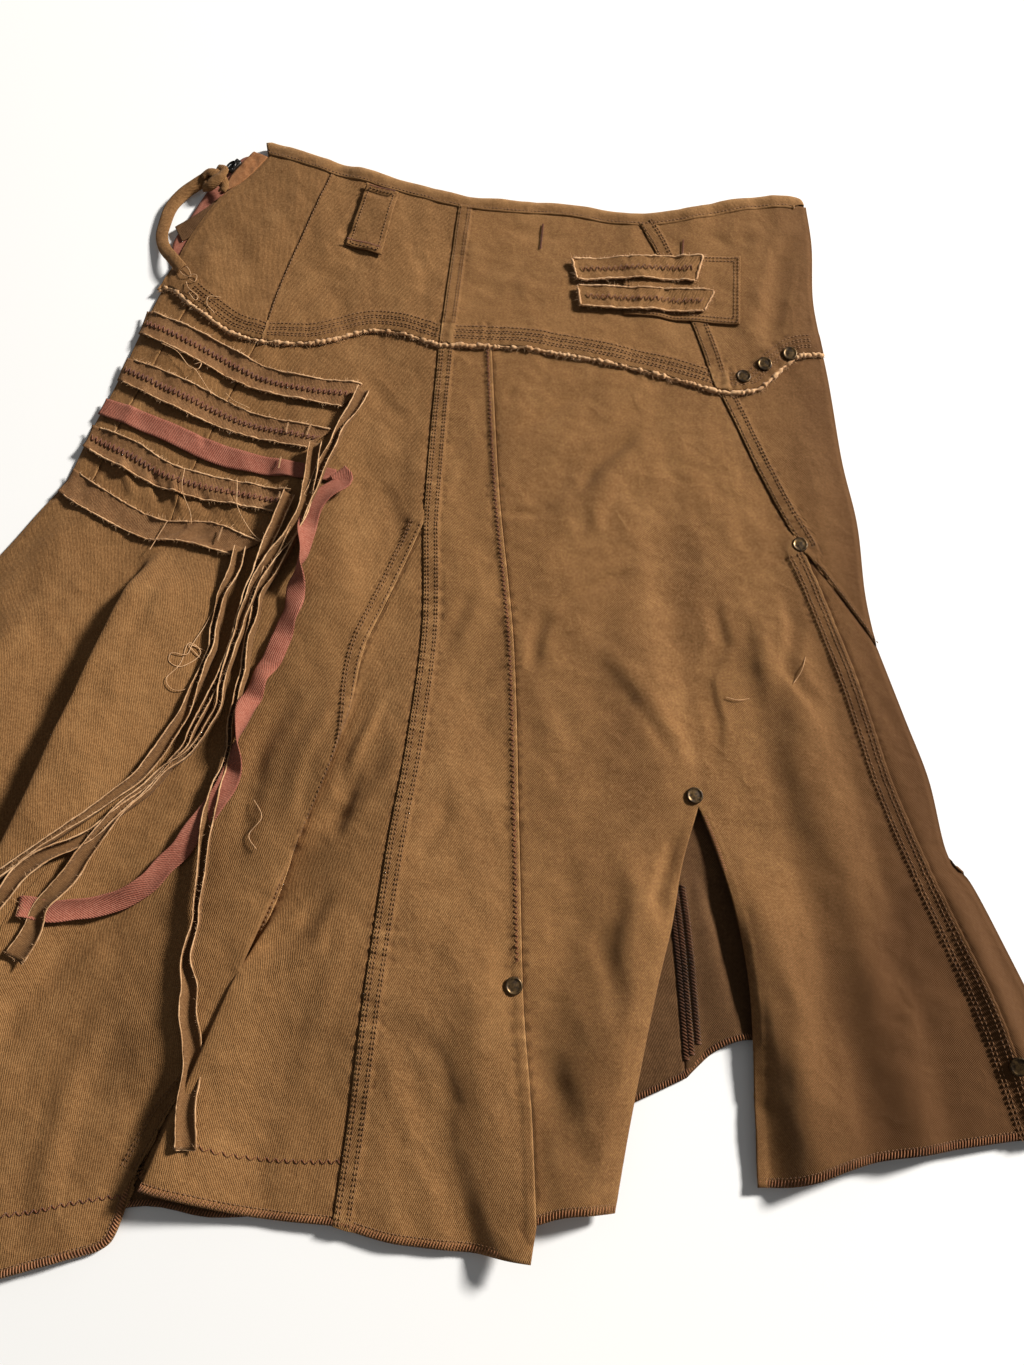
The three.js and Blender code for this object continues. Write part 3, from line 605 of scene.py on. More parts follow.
def add(tree, kind, values=(), **settings):
    """A node with its settings, and each of its inputs linked to a socket or given a value."""
    node = tree.nodes.new(kind)
    for key, value in settings.items():
        setattr(node, key, value)
    for key, value in dict(values).items():
        if isinstance(value, bpy.types.NodeSocket):
            tree.links.new(value, node.inputs[key])
        else:
            node.inputs[key].default_value = value
    return node


def maths(tree, operation, *values):
    """The output of a Math node."""
    return add(tree, "ShaderNodeMath", enumerate(values), operation=operation).outputs[0]


def mixed(tree, share, one, two):
    """The colour output of a Mix node, from colour one at 0 to colour two at 1."""
    return add(tree, "ShaderNodeMix", {0: share, 6: one, 7: two}, data_type="RGBA").outputs[2]


def noise(tree, vector, scale, detail=2.0, rough=0.5):
    """The plain value of a Noise texture."""
    values = {"Vector": vector, "Scale": scale, "Detail": detail, "Roughness": rough}
    return add(tree, "ShaderNodeTexNoise", values).outputs[0]


def remap(tree, value, low, high, to_low=0.0, to_high=1.0):
    """A value's share between low and high, held there, as a share between two others."""
    values = {0: value, 1: low, 2: high, 3: to_low, 4: to_high}
    return add(tree, "ShaderNodeMapRange", values).outputs[0]


def new_group(name, inputs, outputs):
    """An empty node group with named sockets, and its input and output nodes."""
    tree = bpy.data.node_groups.new(name, "ShaderNodeTree")
    for label, (kind, value) in inputs.items():
        socket = tree.interface.new_socket(label, in_out="INPUT", socket_type="NodeSocket" + kind)
        if value is not None:
            socket.default_value = value
    for label, kind in outputs.items():
        tree.interface.new_socket(label, in_out="OUTPUT", socket_type="NodeSocket" + kind)
    return tree, tree.nodes.new("NodeGroupInput").outputs, tree.nodes.new("NodeGroupOutput").inputs


def placed(tree, group, values):
    """A node group placed in a material, with its inputs."""
    return add(tree, "ShaderNodeGroup", values, node_tree=group).outputs


# %% Twill weave
YARN_TURNS = 7.0  # radians that the yarn's sine turns in one rib's width


def twill_weave():
    """Ribs: a sine of the distance across the diagonal, over the rib's width, with its place pushed
    about a little by noise. The yarn's turns are a finer sine along the rib. Slubs, where a yarn is
    thick or thin, are a fine noise added to both."""
    tree, given, out = new_group(
        "twill weave", {"Flat": ("Vector", None), "Rib": ("Float", 0.0011), "Slant": ("Float", 0.5)},
        {"Height": "Float", "Shade": "Float"})
    split = add(tree, "ShaderNodeSeparateXYZ", {0: given["Flat"]}).outputs
    push = maths(tree, "MULTIPLY", noise(tree, given["Flat"], 320.0, 1.0), 0.0009)
    sloped = maths(tree, "MULTIPLY", split["Y"], given["Slant"])
    across = maths(tree, "ADD", maths(tree, "ADD", split["X"], sloped), push)
    turn = maths(tree, "MULTIPLY", maths(tree, "DIVIDE", across, given["Rib"]), 2 * math.pi)
    rib = maths(tree, "MULTIPLY_ADD", maths(tree, "SINE", turn), 0.5, 0.5)
    yarn_turn = maths(tree, "MULTIPLY", maths(tree, "DIVIDE", split["Y"], given["Rib"]), YARN_TURNS)
    yarn = maths(tree, "MULTIPLY_ADD", maths(tree, "SINE", yarn_turn), 0.5, 0.5)
    slub = noise(tree, given["Flat"], 900.0, 2.0, 0.7)
    height = maths(tree, "MULTIPLY", rib, maths(tree, "MULTIPLY_ADD", yarn, 0.35, 0.65))
    shade = maths(tree, "MULTIPLY_ADD", slub, 0.72, maths(tree, "MULTIPLY", rib, 0.26))
    tree.links.new(maths(tree, "ADD", height, maths(tree, "MULTIPLY", slub, 0.5)), out["Height"])
    tree.links.new(shade, out["Shade"])
    return tree


TWILL = twill_weave()


# %% Washed colour
# Each row is a noise: its scale, detail and roughness, its size across the skirt over that down it,
# the two values that its spots rise between, their share, and the tone that they take the dye to.
WASH = [
    (9.0, 3.0, 0.5, 1, 0.3, 0.75, 0.42, "Deep"),
    (48.0, 4.0, 0.6, 0.22, 0.48, 0.72, 0.3, "Deep"),
    (55.0, 4.0, 0.65, 1, 0.5, 0.8, 0.3, "Faded"),
    (700.0, 2.0, 0.6, 1, 0.35, 0.75, 0.4, "Faded"),
]


def washed_colour():
    """The dyed colour, deeper in large soft clouds and in streaks that run down the skirt, paler in
    blotches and specks, paler still by the wear and highlight input, which is wear with a painted
    highlight on the seams' edges, and deeper by the tint and shade input, which is the bands' own
    tint with painted shade in dips, under the binding's edge and towards the right."""
    tree, given, out = new_group(
        "washed colour",
        {"Place": ("Vector", None), "Dye": ("Color", (0.5, 0.3, 0.1, 1)),
         "Faded": ("Color", (0.7, 0.5, 0.3, 1)), "Deep": ("Color", (0.2, 0.1, 0.05, 1)),
         "Weave": ("Float", 0.5), "Wear and Highlight": ("Float", 0.0), "Tint and Shade": ("Float", 0.0)},
        {"Color": "Color"})
    colour = given["Dye"]
    for scale, detail, rough, narrow, low, high, share, tone in WASH:
        place = add(tree, "ShaderNodeVectorMath", {0: given["Place"], 1: (1, narrow, 1)},
                    operation="MULTIPLY").outputs[0]
        spots = remap(tree, noise(tree, place, scale, detail, rough), low, high)
        colour = mixed(tree, maths(tree, "MULTIPLY", spots, share), colour, given[tone])
    weave = remap(tree, given["Weave"], 0.25, 0.75, 0.62, 0.0)
    colour = mixed(tree, weave, colour, given["Deep"])
    # Wear with a painted highlight on the seams' edges takes the colour towards the faded tone, where the
    # noise lets it; the bands' tint with painted shade takes it towards the deep tone.
    uneven = remap(tree, noise(tree, given["Place"], 210.0), 0.3, 0.7, 0.3, 1.0)
    worn = maths(tree, "MULTIPLY", given["Wear and Highlight"], uneven)
    colour = mixed(tree, worn, colour, given["Faded"])
    colour = mixed(tree, given["Tint and Shade"], colour, given["Deep"])
    tree.links.new(colour, out["Color"])
    return tree


WASHED = washed_colour()


# %% Fine creases
def fine_creases():
    """Soft dents of about 15 mm with sharp little ridges between them: a noise, plus one less the
    size of another noise's distance from its middle."""
    tree, given, out = new_group("fine creases", {"Place": ("Vector", None)}, {"Height": "Float"})
    soft = noise(tree, given["Place"], 60.0, 3.0, 0.55)
    fold = maths(tree, "ABSOLUTE", maths(tree, "SUBTRACT", noise(tree, given["Place"], 38.0, 2.0), 0.5))
    sharp = remap(tree, fold, 0.0, 0.12, 1.0, 0.0)
    tree.links.new(maths(tree, "MULTIPLY_ADD", sharp, 0.18, soft), out["Height"])
    return tree


FINE_CREASES = fine_creases()
print("node groups:", [group.name for group in bpy.data.node_groups])

# %% [markdown]
# ## Cloth materials
# Cotton has no gloss but a soft fuzz that catches light at a low angle, which is the shader's sheen.
# The weave and the creases are bumps, because at this size they are under a millimetre.

# %% Cloth material
def empty_material(name):
    """A material with no nodes, its tree, and the Object coordinates of the piece that wears it."""
    material = bpy.data.materials.new(name)
    material.use_nodes = True
    tree = material.node_tree
    tree.nodes.clear()
    return material, tree, add(tree, "ShaderNodeTexCoord").outputs["Object"]


def finish_with(tree, values):
    """The Principled shader with these values, linked to the material's output."""
    shader = add(tree, "ShaderNodeBsdfPrincipled", values)
    tree.links.new(shader.outputs[0], add(tree, "ShaderNodeOutputMaterial").inputs[0])


WEAVE_DEPTH = 0.0003  # metres, as the crease depth is


def cloth_material(name, dye, faded, deep, rib=0.0009, slant=0.5, crease_depth=0.0026):
    """Principled shader on the three shared effects, reading the flat pattern and the object."""
    material, tree, place = empty_material(name)
    dye, faded, deep = linear(*dye), linear(*faded), linear(*deep)
    flat = add(tree, "ShaderNodeUVMap", uv_map="flat").outputs[0]
    # Two attributes: wear with a painted highlight, and the bands' own tint with painted shade.
    wear_and_highlight = add(tree, "ShaderNodeAttribute", attribute_name="wear_and_highlight").outputs["Fac"]
    tint_and_shade = add(tree, "ShaderNodeAttribute", attribute_name="tint_and_shade").outputs["Fac"]
    weave = placed(tree, TWILL, {"Flat": flat, "Rib": rib, "Slant": slant})
    colour = placed(tree, WASHED, {"Place": place, "Dye": dye, "Faded": faded, "Deep": deep,
                                   "Weave": weave["Shade"], "Wear and Highlight": wear_and_highlight, "Tint and Shade": tint_and_shade})["Color"]
    creases = placed(tree, FINE_CREASES, {"Place": place})["Height"]
    large = add(tree, "ShaderNodeBump", {"Strength": 0.7, "Distance": crease_depth, "Height": creases})
    small = add(tree, "ShaderNodeBump", {"Strength": 0.8, "Distance": WEAVE_DEPTH,
                                         "Height": weave["Height"], "Normal": large.outputs[0]})
    finish_with(tree, {
        "Base Color": colour, "Normal": small.outputs[0], "Roughness": 0.92,
        "Specular IOR Level": 0.2, "Sheen Weight": 0.04, "Sheen Roughness": 0.5,
        "Sheen Tint": (0.9, 0.75, 0.6, 1)})
    return material


cloth_brown = cloth_material("brown twill", (146, 104, 61), (190, 145, 94), (78, 49, 23))
cloth_inside = cloth_material("brown twill inside", (101, 70, 41), (136, 100, 64), (60, 38, 20))
cloth_strip = cloth_material("dark strip twill", (143, 100, 62), (190, 146, 100), (70, 44, 22),
                             crease_depth=0.0012)
cloth_tail = cloth_material("tail twill", (128, 90, 54), (170, 128, 84), (66, 42, 20),
                            crease_depth=0.001)
cloth_pink = cloth_material("pink herringbone tape", (164, 98, 78), (204, 144, 120), (104, 52, 38),
                            rib=0.0014, slant=1.0, crease_depth=0.0005)
cloth_rust = cloth_material("rust facing", (168, 112, 68), (200, 150, 105), (110, 66, 36),
                            crease_depth=0.001)


# %% Thread and metal
def thread_material(name, colour, dark):
    """Cotton thread: half a fine fuzz of noise and half broad patches, between two colours."""
    material, tree, place = empty_material(name)
    fuzz = remap(tree, noise(tree, place, 600.0, 3.0, 0.6), 0.35, 0.7)
    patches = remap(tree, noise(tree, place, 45.0), 0.35, 0.7)
    share = maths(tree, "MULTIPLY_ADD", patches, 0.5, maths(tree, "MULTIPLY", fuzz, 0.5))
    bump = add(tree, "ShaderNodeBump", {"Strength": 0.6, "Distance": 0.00015, "Height": fuzz})
    finish_with(tree, {
        "Base Color": mixed(tree, share, linear(*dark), linear(*colour)), "Normal": bump.outputs[0],
        "Roughness": 0.85, "Specular IOR Level": 0.25, "Sheen Weight": 0.15})
    return material


def metal_material(name, dark, worn, metallic, rough):
    """Dark metal, brighter and smoother where handling has rubbed it: on small specks of noise."""
    material, tree, place = empty_material(name)
    rubbed = remap(tree, noise(tree, place, 420.0, 4.0, 0.6), 0.42, 0.66)
    bump = add(tree, "ShaderNodeBump", {"Strength": 0.3, "Distance": 0.0001, "Height": rubbed})
    finish_with(tree, {
        "Base Color": mixed(tree, rubbed, linear(*dark), linear(*worn)), "Metallic": metallic,
        "Roughness": remap(tree, rubbed, 0.0, 1.0, rough, rough * 0.7), "Normal": bump.outputs[0]})
    return material


thread_brown = thread_material("brown thread", (150, 108, 68), (98, 64, 36))
thread_pale = thread_material("frayed yarn", (226, 184, 138), (160, 116, 74))
thread_rust = thread_material("red-brown thread", (128, 72, 44), (86, 46, 28))
thread_hem = thread_material("hem thread", (188, 130, 88), (96, 54, 32))
thread_dark = thread_material("dark thread", (112, 68, 42), (44, 26, 15))
brass = metal_material("antique brass", (42, 31, 19), (108, 84, 52), 0.75, 0.42)
black_metal = metal_material("black metal", (12, 11, 10), (60, 58, 55), 0.7, 0.35)
print(len(bpy.data.materials), "materials")

# %% [markdown]
# ## Sewing the panels
# Each panel is a patch laid on the folds, given a wall by Solidify, and the size it was cut to is
# noted. Its weave runs down its own middle, as a maker lays the grain.

# %% Colour of a panel
FALLOFF_SHADE_FROM, FALLOFF_SHADE_REACH, FALLOFF_SHADE = 130, 105, 0.9  # x where the painted shade of the light's falloff starts, its reach and its share
HEM_SHADE_FROM, HEM_SHADE_REACH, HEM_SHADE = 105, 50, 0.4  # the same for the painted shade that the hem adds
HEM_TOP = 90  # the hem's share grows from this y down to zero
FADES_OVER, FADES_BY = 0.85, 0.8  # relief in millimetres that starts to fade, and how fast it does
GROOVE_SHADE_UNDER, GROOVE_SHADE_BY = -0.15, 0.5  # relief under which a dip beside a band gets painted shade, and its share


def painted_falloff_shade(x, y):
    """Painted shade where the light falls off: darker towards the right side, and darkest at its hem.
    An ease towards the right, and another that also grows towards the hem."""
    side = FALLOFF_SHADE * ease((x - FALLOFF_SHADE_FROM) / FALLOFF_SHADE_REACH)
    return side + HEM_SHADE * ease((x - HEM_SHADE_FROM) / HEM_SHADE_REACH) * ease((HEM_TOP - y) / HEM_TOP)


def panel_tints(inner, bands):
    """Wear and highlight grows with the relief's height, as wear, and on the bands' crisp edges, as wear
    with a painted highlight. Tint and shade is a share of the bands' own deeper tint, plus painted shade
    in the dips beside them, plus the painted shade of the light's falloff towards the right."""
    x, y = inner[..., 0], inner[..., 1]
    proud, edge_wear_and_highlight, shade = relief(x, y, bands)
    wear_and_highlight = (proud - FADES_OVER) * FADES_BY + 0.9 * edge_wear_and_highlight
    tint_and_shade = BAND_SHADE * shade + GROOVE_SHADE_BY * (proud < GROOVE_SHADE_UNDER) + painted_falloff_shade(x, y)
    return {"wear_and_highlight": np.clip(wear_and_highlight, 0, 1).reshape(-1), "tint_and_shade": np.clip(tint_and_shade, 0, 0.9).reshape(-1)}


# %% Sew a panel
INSIDE = 0.9994  # a panel shrunk by this about its middle lies a hair inside its seams
cut_sizes = {}


def shrunk(plan):
    """The plan's points moved towards its middle."""
    middle = plan.mean((0, 1))
    return middle + (plan - middle) * INSIDE


def with_wall(thing, thickness):
    """Cloth of this thickness, in millimetres, below the surface."""
    solidify = thing.modifiers.new("wall", "SOLIDIFY")
    solidify.thickness, solidify.offset = thickness / 1000, -1


def declare_sheet(thing, width, length):
    """The cut size, rounded up to a millimetre, noted in centimetres under the piece's name."""
    size = (math.ceil(width * 1000) / 1000, math.ceil(length * 1000) / 1000)
    cut_sizes[thing.name] = [round(size[0] * 100, 1), round(size[1] * 100, 1)]


def sewn(name, plan, nodes, material, lift=0.0, bands=(), wall=CLOTH,
         surface=None, quads=None, flat=None):
    """One sheet of cloth. The flat coordinates are the plan turned so that the grain runs down the
    panel's middle. The cut size is the flat one, grown by the root of how much more cloth the folds
    take."""
    inner = shrunk(plan)
    grid = laid(plan, lift, bands, inner) if surface is None else surface
    if flat is None:
        centre = plan.shape[1] // 2
        down = plan[-1, centre] - plan[0, centre]
        down = down / np.hypot(*down)
        flat = np.stack([plan @ np.array([-down[1], down[0]]), -(plan @ down)], -1) / 1000
    quads = grid_faces(*grid.shape[:2]) if quads is None else quads
    thing = mesh_object(name, grid.reshape(-1, 3), quads, material, flat.reshape(-1, 2),
                        panel_tints(inner, bands))
    with_wall(thing, wall)
    width, length = np.ptp(flat.reshape(-1, 2), axis=0)
    area = surface_area(grid)
    grown = max(1.0, math.sqrt(area / (width * length)))
    declare_sheet(thing, width * grown, length * grown)
    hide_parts(*nodes)


# %% Front panels on the left
def front_panel(name, top, bottom, left, right, bands=(), cell=CELL):
    """A panel of brown twill between four edges, each named lines or a pair of points."""
    edges = [run(*edge) if isinstance(edge[0], str) else straight(*edge)
             for edge in (top, bottom, left, right)]
    sewn(name + "_cloth", coons(*edges, cell=cell), [name], cloth_brown, bands=bands)


front_panel("hip_side", [(-226, 480), (-203, 470)], ["band_side"], ["left_hip"], ["seam_side"],
            ["side"])
front_panel("hip_left", [(-203, 470), (-158, 434)], ["band_hip"], ["seam_side"], ["seam_hip"],
            ["side", "hip"])
front_panel("front_left", [(-158, 434), (-46, 434)], ["hem_left"],
            ["seam_hip", "band_front", "seam_tails"], ["seam_main_top", "seam_godet"],
            ["hip", "main", "godet"])
front_panel("flounce", ["band_side", "band_hip", "band_front"], ["hem_flounce"], ["left_flounce"],
            ["seam_tails"], cell=2.9)
front_panel("godet_left", [(-54, 286), (-54, 286.01)], ["hem_godet"], ["seam_godet"], ["seam_main"],
            ["godet", "main"])
print("cut sizes in cm:", cut_sizes)

# %% Front panels in the middle and on the right
centre_right_edge = np.vstack([run("seam_zigzag"), [(9, -113)]])
front_centre = coons(straight((-46, 434), (-14, 430)), run("hem_centre"),
                     run("seam_main_top", "seam_main"), centre_right_edge)
# Below the rivet of the zigzag seam this panel's right edge is free and lies a little higher.
FREE_BELOW, FREE_FADE = 16, 30
FREE_EDGE, FREE_WIDTH = 10, 26
FREE_LIFT = 1.6
below_rivet = ease((FREE_BELOW - front_centre[..., 1]) / FREE_FADE)
near_edge = ease(1 - (FREE_EDGE - front_centre[..., 0]) / FREE_WIDTH)
sewn("front_centre_cloth", front_centre, ["front_centre"], cloth_brown, bands=["main", "zigzag"],
     lift=FREE_LIFT * (below_rivet * near_edge))
front_panel("side_right", [(126, 402), (200, 432)], ["seam_godet_top"], ["seam_right"], ["right_hip"],
            ["right", "godet top"])
front_panel("godet_right", ["seam_godet_top"], ["hem_godet_right"], ["seam_godet_right"],
            ["right_godet"], ["godet right", "godet top"])
print("pieces so far:", len(cut_sizes))

# %% [markdown]
# ## The panel with the slit
# This panel is open from a rivet down to the hem. It is two patches that share their edge above the
# slit. Both give that shared edge the same points, so that the two weld into one piece of cloth.

# %% Slit panel
ROWS_ABOVE, ROWS_BELOW = 136, 92


def split_line(upper, lower):
    """A line whose upper part has a fixed number of points, so that two patches agree on it."""
    return np.vstack([resample(upper, ROWS_ABOVE)[:-1], resample(lower, ROWS_BELOW)])


slit_rows = ROWS_ABOVE + ROWS_BELOW - 1
west_edge = resample(run("seam_zigzag"), slit_rows)
east_edge = resample(run("seam_right", "seam_godet_right"), slit_rows)
slit_west = coons(straight((-14, 430), (62, 418)), run("hem_front_left"), west_edge,
                  split_line(run("above_slit"), run("slit_left")), rows=slit_rows, columns=56, crowd=0.5)
slit_east = coons(straight((62, 418), (126, 402)), run("hem_front_right"),
                  split_line(run("above_slit"), run("slit_right")), east_edge, rows=slit_rows,
                  columns=76, crowd=0.5)
slit_plan = np.hstack([slit_west, slit_east])
slit_quads = grid_faces(*slit_plan.shape[:2]).reshape(slit_rows - 1, -1, 4)
slit_quads = np.delete(slit_quads, slit_west.shape[1] - 1, axis=1).reshape(-1, 4)
# The relief of the slit's own hems is there only in the rows below its top.
seam_bands, slit_bands = ["zigzag", "right", "godet right"], ["slit", "slit right"]
slit_inner = np.hstack([shrunk(slit_west), shrunk(slit_east)])
inner_x, inner_y = slit_inner[..., 0], slit_inner[..., 1]
below = np.arange(slit_rows)[:, None] >= ROWS_ABOVE
slit_relief = np.where(below, relief(inner_x, inner_y, seam_bands + slit_bands)[0],
                       relief(inner_x, inner_y, seam_bands)[0])
slit_surface = laid(slit_plan)
slit_surface[..., 2] += slit_relief / 1000
sewn("front_right_cloth", slit_plan, ["front_right"], cloth_brown, bands=seam_bands,
     surface=slit_surface, quads=slit_quads)
print("slit panel:", cut_sizes["front_right_cloth"], "cm")

# %% [markdown]
# ## Back
# The back lies flat on the surface. Only a little of it shows, in the slit and below the front's
# hem, where it is the wrong side of the twill with a felled seam of its own. It ripples by less than
# a millimetre, with one soft fold where the slit shows it.

# %% Back panels
BACK_TOP = 2.0  # height of the back's upper side
BACK_WAVE, BACK_WAVE_SIZE = 0.35, 26
BACK_FOLD = dict(zip(FOLD_COLUMNS, (96, 84, 121, -12, 0, 22, 6, 3.4, 0.35, 0, 0)))
BACK_FOLD_END = -60  # the fold's line runs on past the hem, and stops at this y


def laid_flat(plan, bands=()):
    """Points of the pattern on the surface, with a faint ripple and the fold that shows in the slit,
    in metres in the frame."""
    x, y = plan[..., 0], plan[..., 1]
    z = BACK_TOP + BACK_WAVE * ripple(x, y, BACK_WAVE_SIZE, 5) + relief(x, y, bands)[0]
    z = z + BACK_FOLD["high"] * hump(BACK_FOLD, x, y) * (y > BACK_FOLD_END)
    return np.stack([x - MIDDLE[0], y - MIDDLE[1], z], -1) / 1000


def waist_top(start, low, high, end, drop):
    """A panel's top: its start, the part of the waist between two x, moved down into the skirt by the
    drop, and its end."""
    line = beside(smooth_line(LINES["waist"], 1.5), drop)
    return np.vstack([[start], line[(line[:, 0] > low) & (line[:, 0] < high)], [end]])


BACK_WALL, BACK_DROP = 1.2, 8
back_left = coons(waist_top((-171, 570), -168, 59, (60, 517), BACK_DROP), run("back_hem_left"),
                  run("opening", "left_hip", "left_flounce"), run("back_seam"), cell=7)
back_right = coons(waist_top((60, 517), 61, 200, (201, 525), BACK_DROP), run("back_hem_right"),
                   run("back_seam"), run("right_yoke", "right_hip", "right_godet"), cell=5)
sewn("back_left_cloth", back_left, ["back_left"], cloth_inside, wall=BACK_WALL,
     surface=laid_flat(back_left))
sewn("back_right_cloth", back_right, ["back_right"], cloth_inside, wall=BACK_WALL,
     surface=laid_flat(back_right, ["back"]))
print("back cut sizes in cm:", cut_sizes["back_left_cloth"], cut_sizes["back_right_cloth"])

# %% [markdown]
# ## Yoke
# The yoke's four panels end in a raw edge that lies over the panels below. It stands one layer
# higher than they do, so its lift is the cloth and its thread, 1.9 mm.

# %% Yoke panels
LAYER = 1.9
YOKE_CELL = 1.9  # the mesh is finer here, for the rows of puckers
YOKE_DROP, YOKE_WALL = 9, 1.3  # how far below the waist's edge a panel starts, and its thickness
# For each panel: the top's start, the x from and to which it follows the waist and the top's end;
# the lower edge; the left and right lines; and the bands.
YOKE = {
    "yoke_side": (((-171, 570), -168, -125, (-124, 555)), "yoke_edge_side",
                  ("opening", "left_yoke_tip"), ("yoke_seam_side",), ["yoke side", "yoke edge"]),
    "yoke_left": (((-124, 555), -123, -37, (-36, 525)), "yoke_edge_left", ("yoke_seam_side",),
                  ("yoke_seam_main",), ["yoke side", "yoke main", "yoke edge"]),
    "yoke_centre": (((-36, 525), -35, 85, (86, 510)), "yoke_edge_centre", ("yoke_seam_main",),
                    ("yoke_seam_right",), ["yoke main", "yoke right", "yoke edge"]),
    "yoke_right": (((86, 510), 87, 186, (201, 527)), "yoke_edge_right", ("yoke_seam_right",),
                   ("right_yoke",), ["yoke right", "yoke edge"]),
}
for name, (top, edge, left, right, bands) in YOKE.items():
    plan = coons(waist_top(*top, YOKE_DROP), run(edge), run(*left), run(*right), cell=YOKE_CELL)
    sewn(name + "_cloth", plan, [name], cloth_brown, lift=LAYER, bands=bands, wall=YOKE_WALL)
print("yoke cut sizes in cm:", {k: v for k, v in cut_sizes.items() if "yoke" in k})

# %% [markdown]
# ## Waist binding
# A strip of twill folded over the waist binds front and back. It is a profile carried along the
# waist: up from its lower edge, over the top and down behind. One row of stitches holds it, just
# above its lower edge, and the cloth swells a little between stitches.

# %% Binding
def over_yoke(plan, lift):
    """Height in millimetres of the yoke's top, lifted by so much."""
    return folded(plan[..., 0], plan[..., 1])[0] + LAYER + lift


# Depth is how far in from the waist's edge a point of the profile lies. Its height is over the yoke
# or, where that is blank, over the floor. All are millimetres. The last two are shares of colour:
# wear with a painted highlight on the binding's folds, and painted shade under its lower edge and
# in the dip of its stitch row.
BINDING_COLUMNS = ("depth", "over_yoke", "over_floor", "wear_and_highlight", "tint_and_shade")
BINDING_PROFILE = [dict(zip(BINDING_COLUMNS, row)) for row in [
    (11, -0.3, None, 0.4, 0.5), (10.8, 0.5, None, 0.5, 0), (9.8, 0.9, None, 0.1, 0),
    (8.6, 0.55, None, 0, 0.25), (6.5, 1.1, None, 0.1, 0), (4, 1.2, None, 0.2, 0),
    (2, 0.8, None, 0.4, 0), (0.6, 0.1, None, 0.5, 0), (0, -1.2, None, 0.4, 0),
    (0.1, None, 2.4, 0.2, 0), (0.8, None, 1.6, 0, 0), (2.4, None, 1.3, 0, 0),
    (6, None, 1.2, 0, 0), (11, None, 1.2, 0, 0),
]]
WAIST_STEP = 2.0
SWELL_HIGH, SWELL_SIZE = 0.3, 6
YOKE_STARTS = 1.5  # the yoke's height is read at least this far in from the edge
BINDING_WALL = 0.7
waist = smooth_line(LINES["waist"], WAIST_STEP)[4:-1]
waist_place = np.arange(len(waist)) * WAIST_STEP
swelling = SWELL_HIGH * ripple(waist_place, np.zeros(len(waist)), SWELL_SIZE, 8)
binding_rows = []
for point in BINDING_PROFILE:
    if point["over_yoke"] is None:
        height = np.full(len(waist), point["over_floor"])
    else:
        read_at = beside(waist, max(point["depth"], YOKE_STARTS))
        height = over_yoke(read_at, point["over_yoke"] + swelling)
    binding_rows.append(np.c_[beside(waist, point["depth"]) - MIDDLE, height] / 1000)
binding_grid = np.stack(binding_rows)
steps = np.linalg.norm(np.diff(binding_grid, axis=0), axis=-1).mean(1)
profile_lengths = np.r_[0, np.cumsum(steps)]
waist_along = np.linspace(0, length_of(waist) / 1000, len(waist))
binding_flat = np.stack(np.broadcast_arrays(waist_along[None], -profile_lengths[:, None]), -1)
binding_tints = {key: np.repeat([float(point[key]) for point in BINDING_PROFILE], len(waist))
                 for key in ("wear_and_highlight", "tint_and_shade")}
binding = mesh_object("waist_binding_cloth", binding_grid.reshape(-1, 3),
                      grid_faces(*binding_grid.shape[:2])[:, ::-1], cloth_brown,
                      binding_flat.reshape(-1, 2), binding_tints)
with_wall(binding, BINDING_WALL)
declare_sheet(binding, waist_along[-1], profile_lengths[-1])
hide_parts("front_binding", "back_binding")
print("binding:", cut_sizes["waist_binding_cloth"], "cm")

# %% [markdown]
# ## Strips, belt loop and patch
# These are flat pieces with raw edges, sewn on in their middle, so their long edges curl up and
# fray. Each is a patch, higher by the layers below it, with its edges lifted by the fourth power of
# the distance from its middle and with puckers where the zigzag stitch draws it in.

# %% Flat trims
STRIPS = {
    "strip_1": ([(-240, 442), (-200, 422), (-150, 393), (-95, 384)],
                [(-244, 425), (-207, 405), (-163, 380), (-107, 367)]),
    "strip_2": ([(-249, 406), (-205, 385), (-162, 362), (-113, 350)],
                [(-254, 390), (-217, 369), (-174, 349), (-127, 337)]),
    "tape": ([(-259, 376), (-216, 357), (-174, 338), (-108, 321)],
             [(-263, 365), (-221, 345), (-178, 325), (-110, 313)]),
    "strip_3": ([(-265, 356), (-235, 342), (-205, 324), (-135, 307)],
                [(-269, 341), (-243, 325), (-206, 307), (-145, 294)]),
    "gather_band": (LINES["band_top"], LINES["band_bottom"]),
}


TRIM_WALL = 0.8


def unrolled(surface):
    """Flat coordinates of a strip: the lengths along its middle row and down its middle column."""
    middle_row, middle_column = surface[surface.shape[0] // 2], surface[:, surface.shape[1] // 2]
    return np.stack(np.meshgrid(steps_along(middle_row), -steps_along(middle_column)), -1)


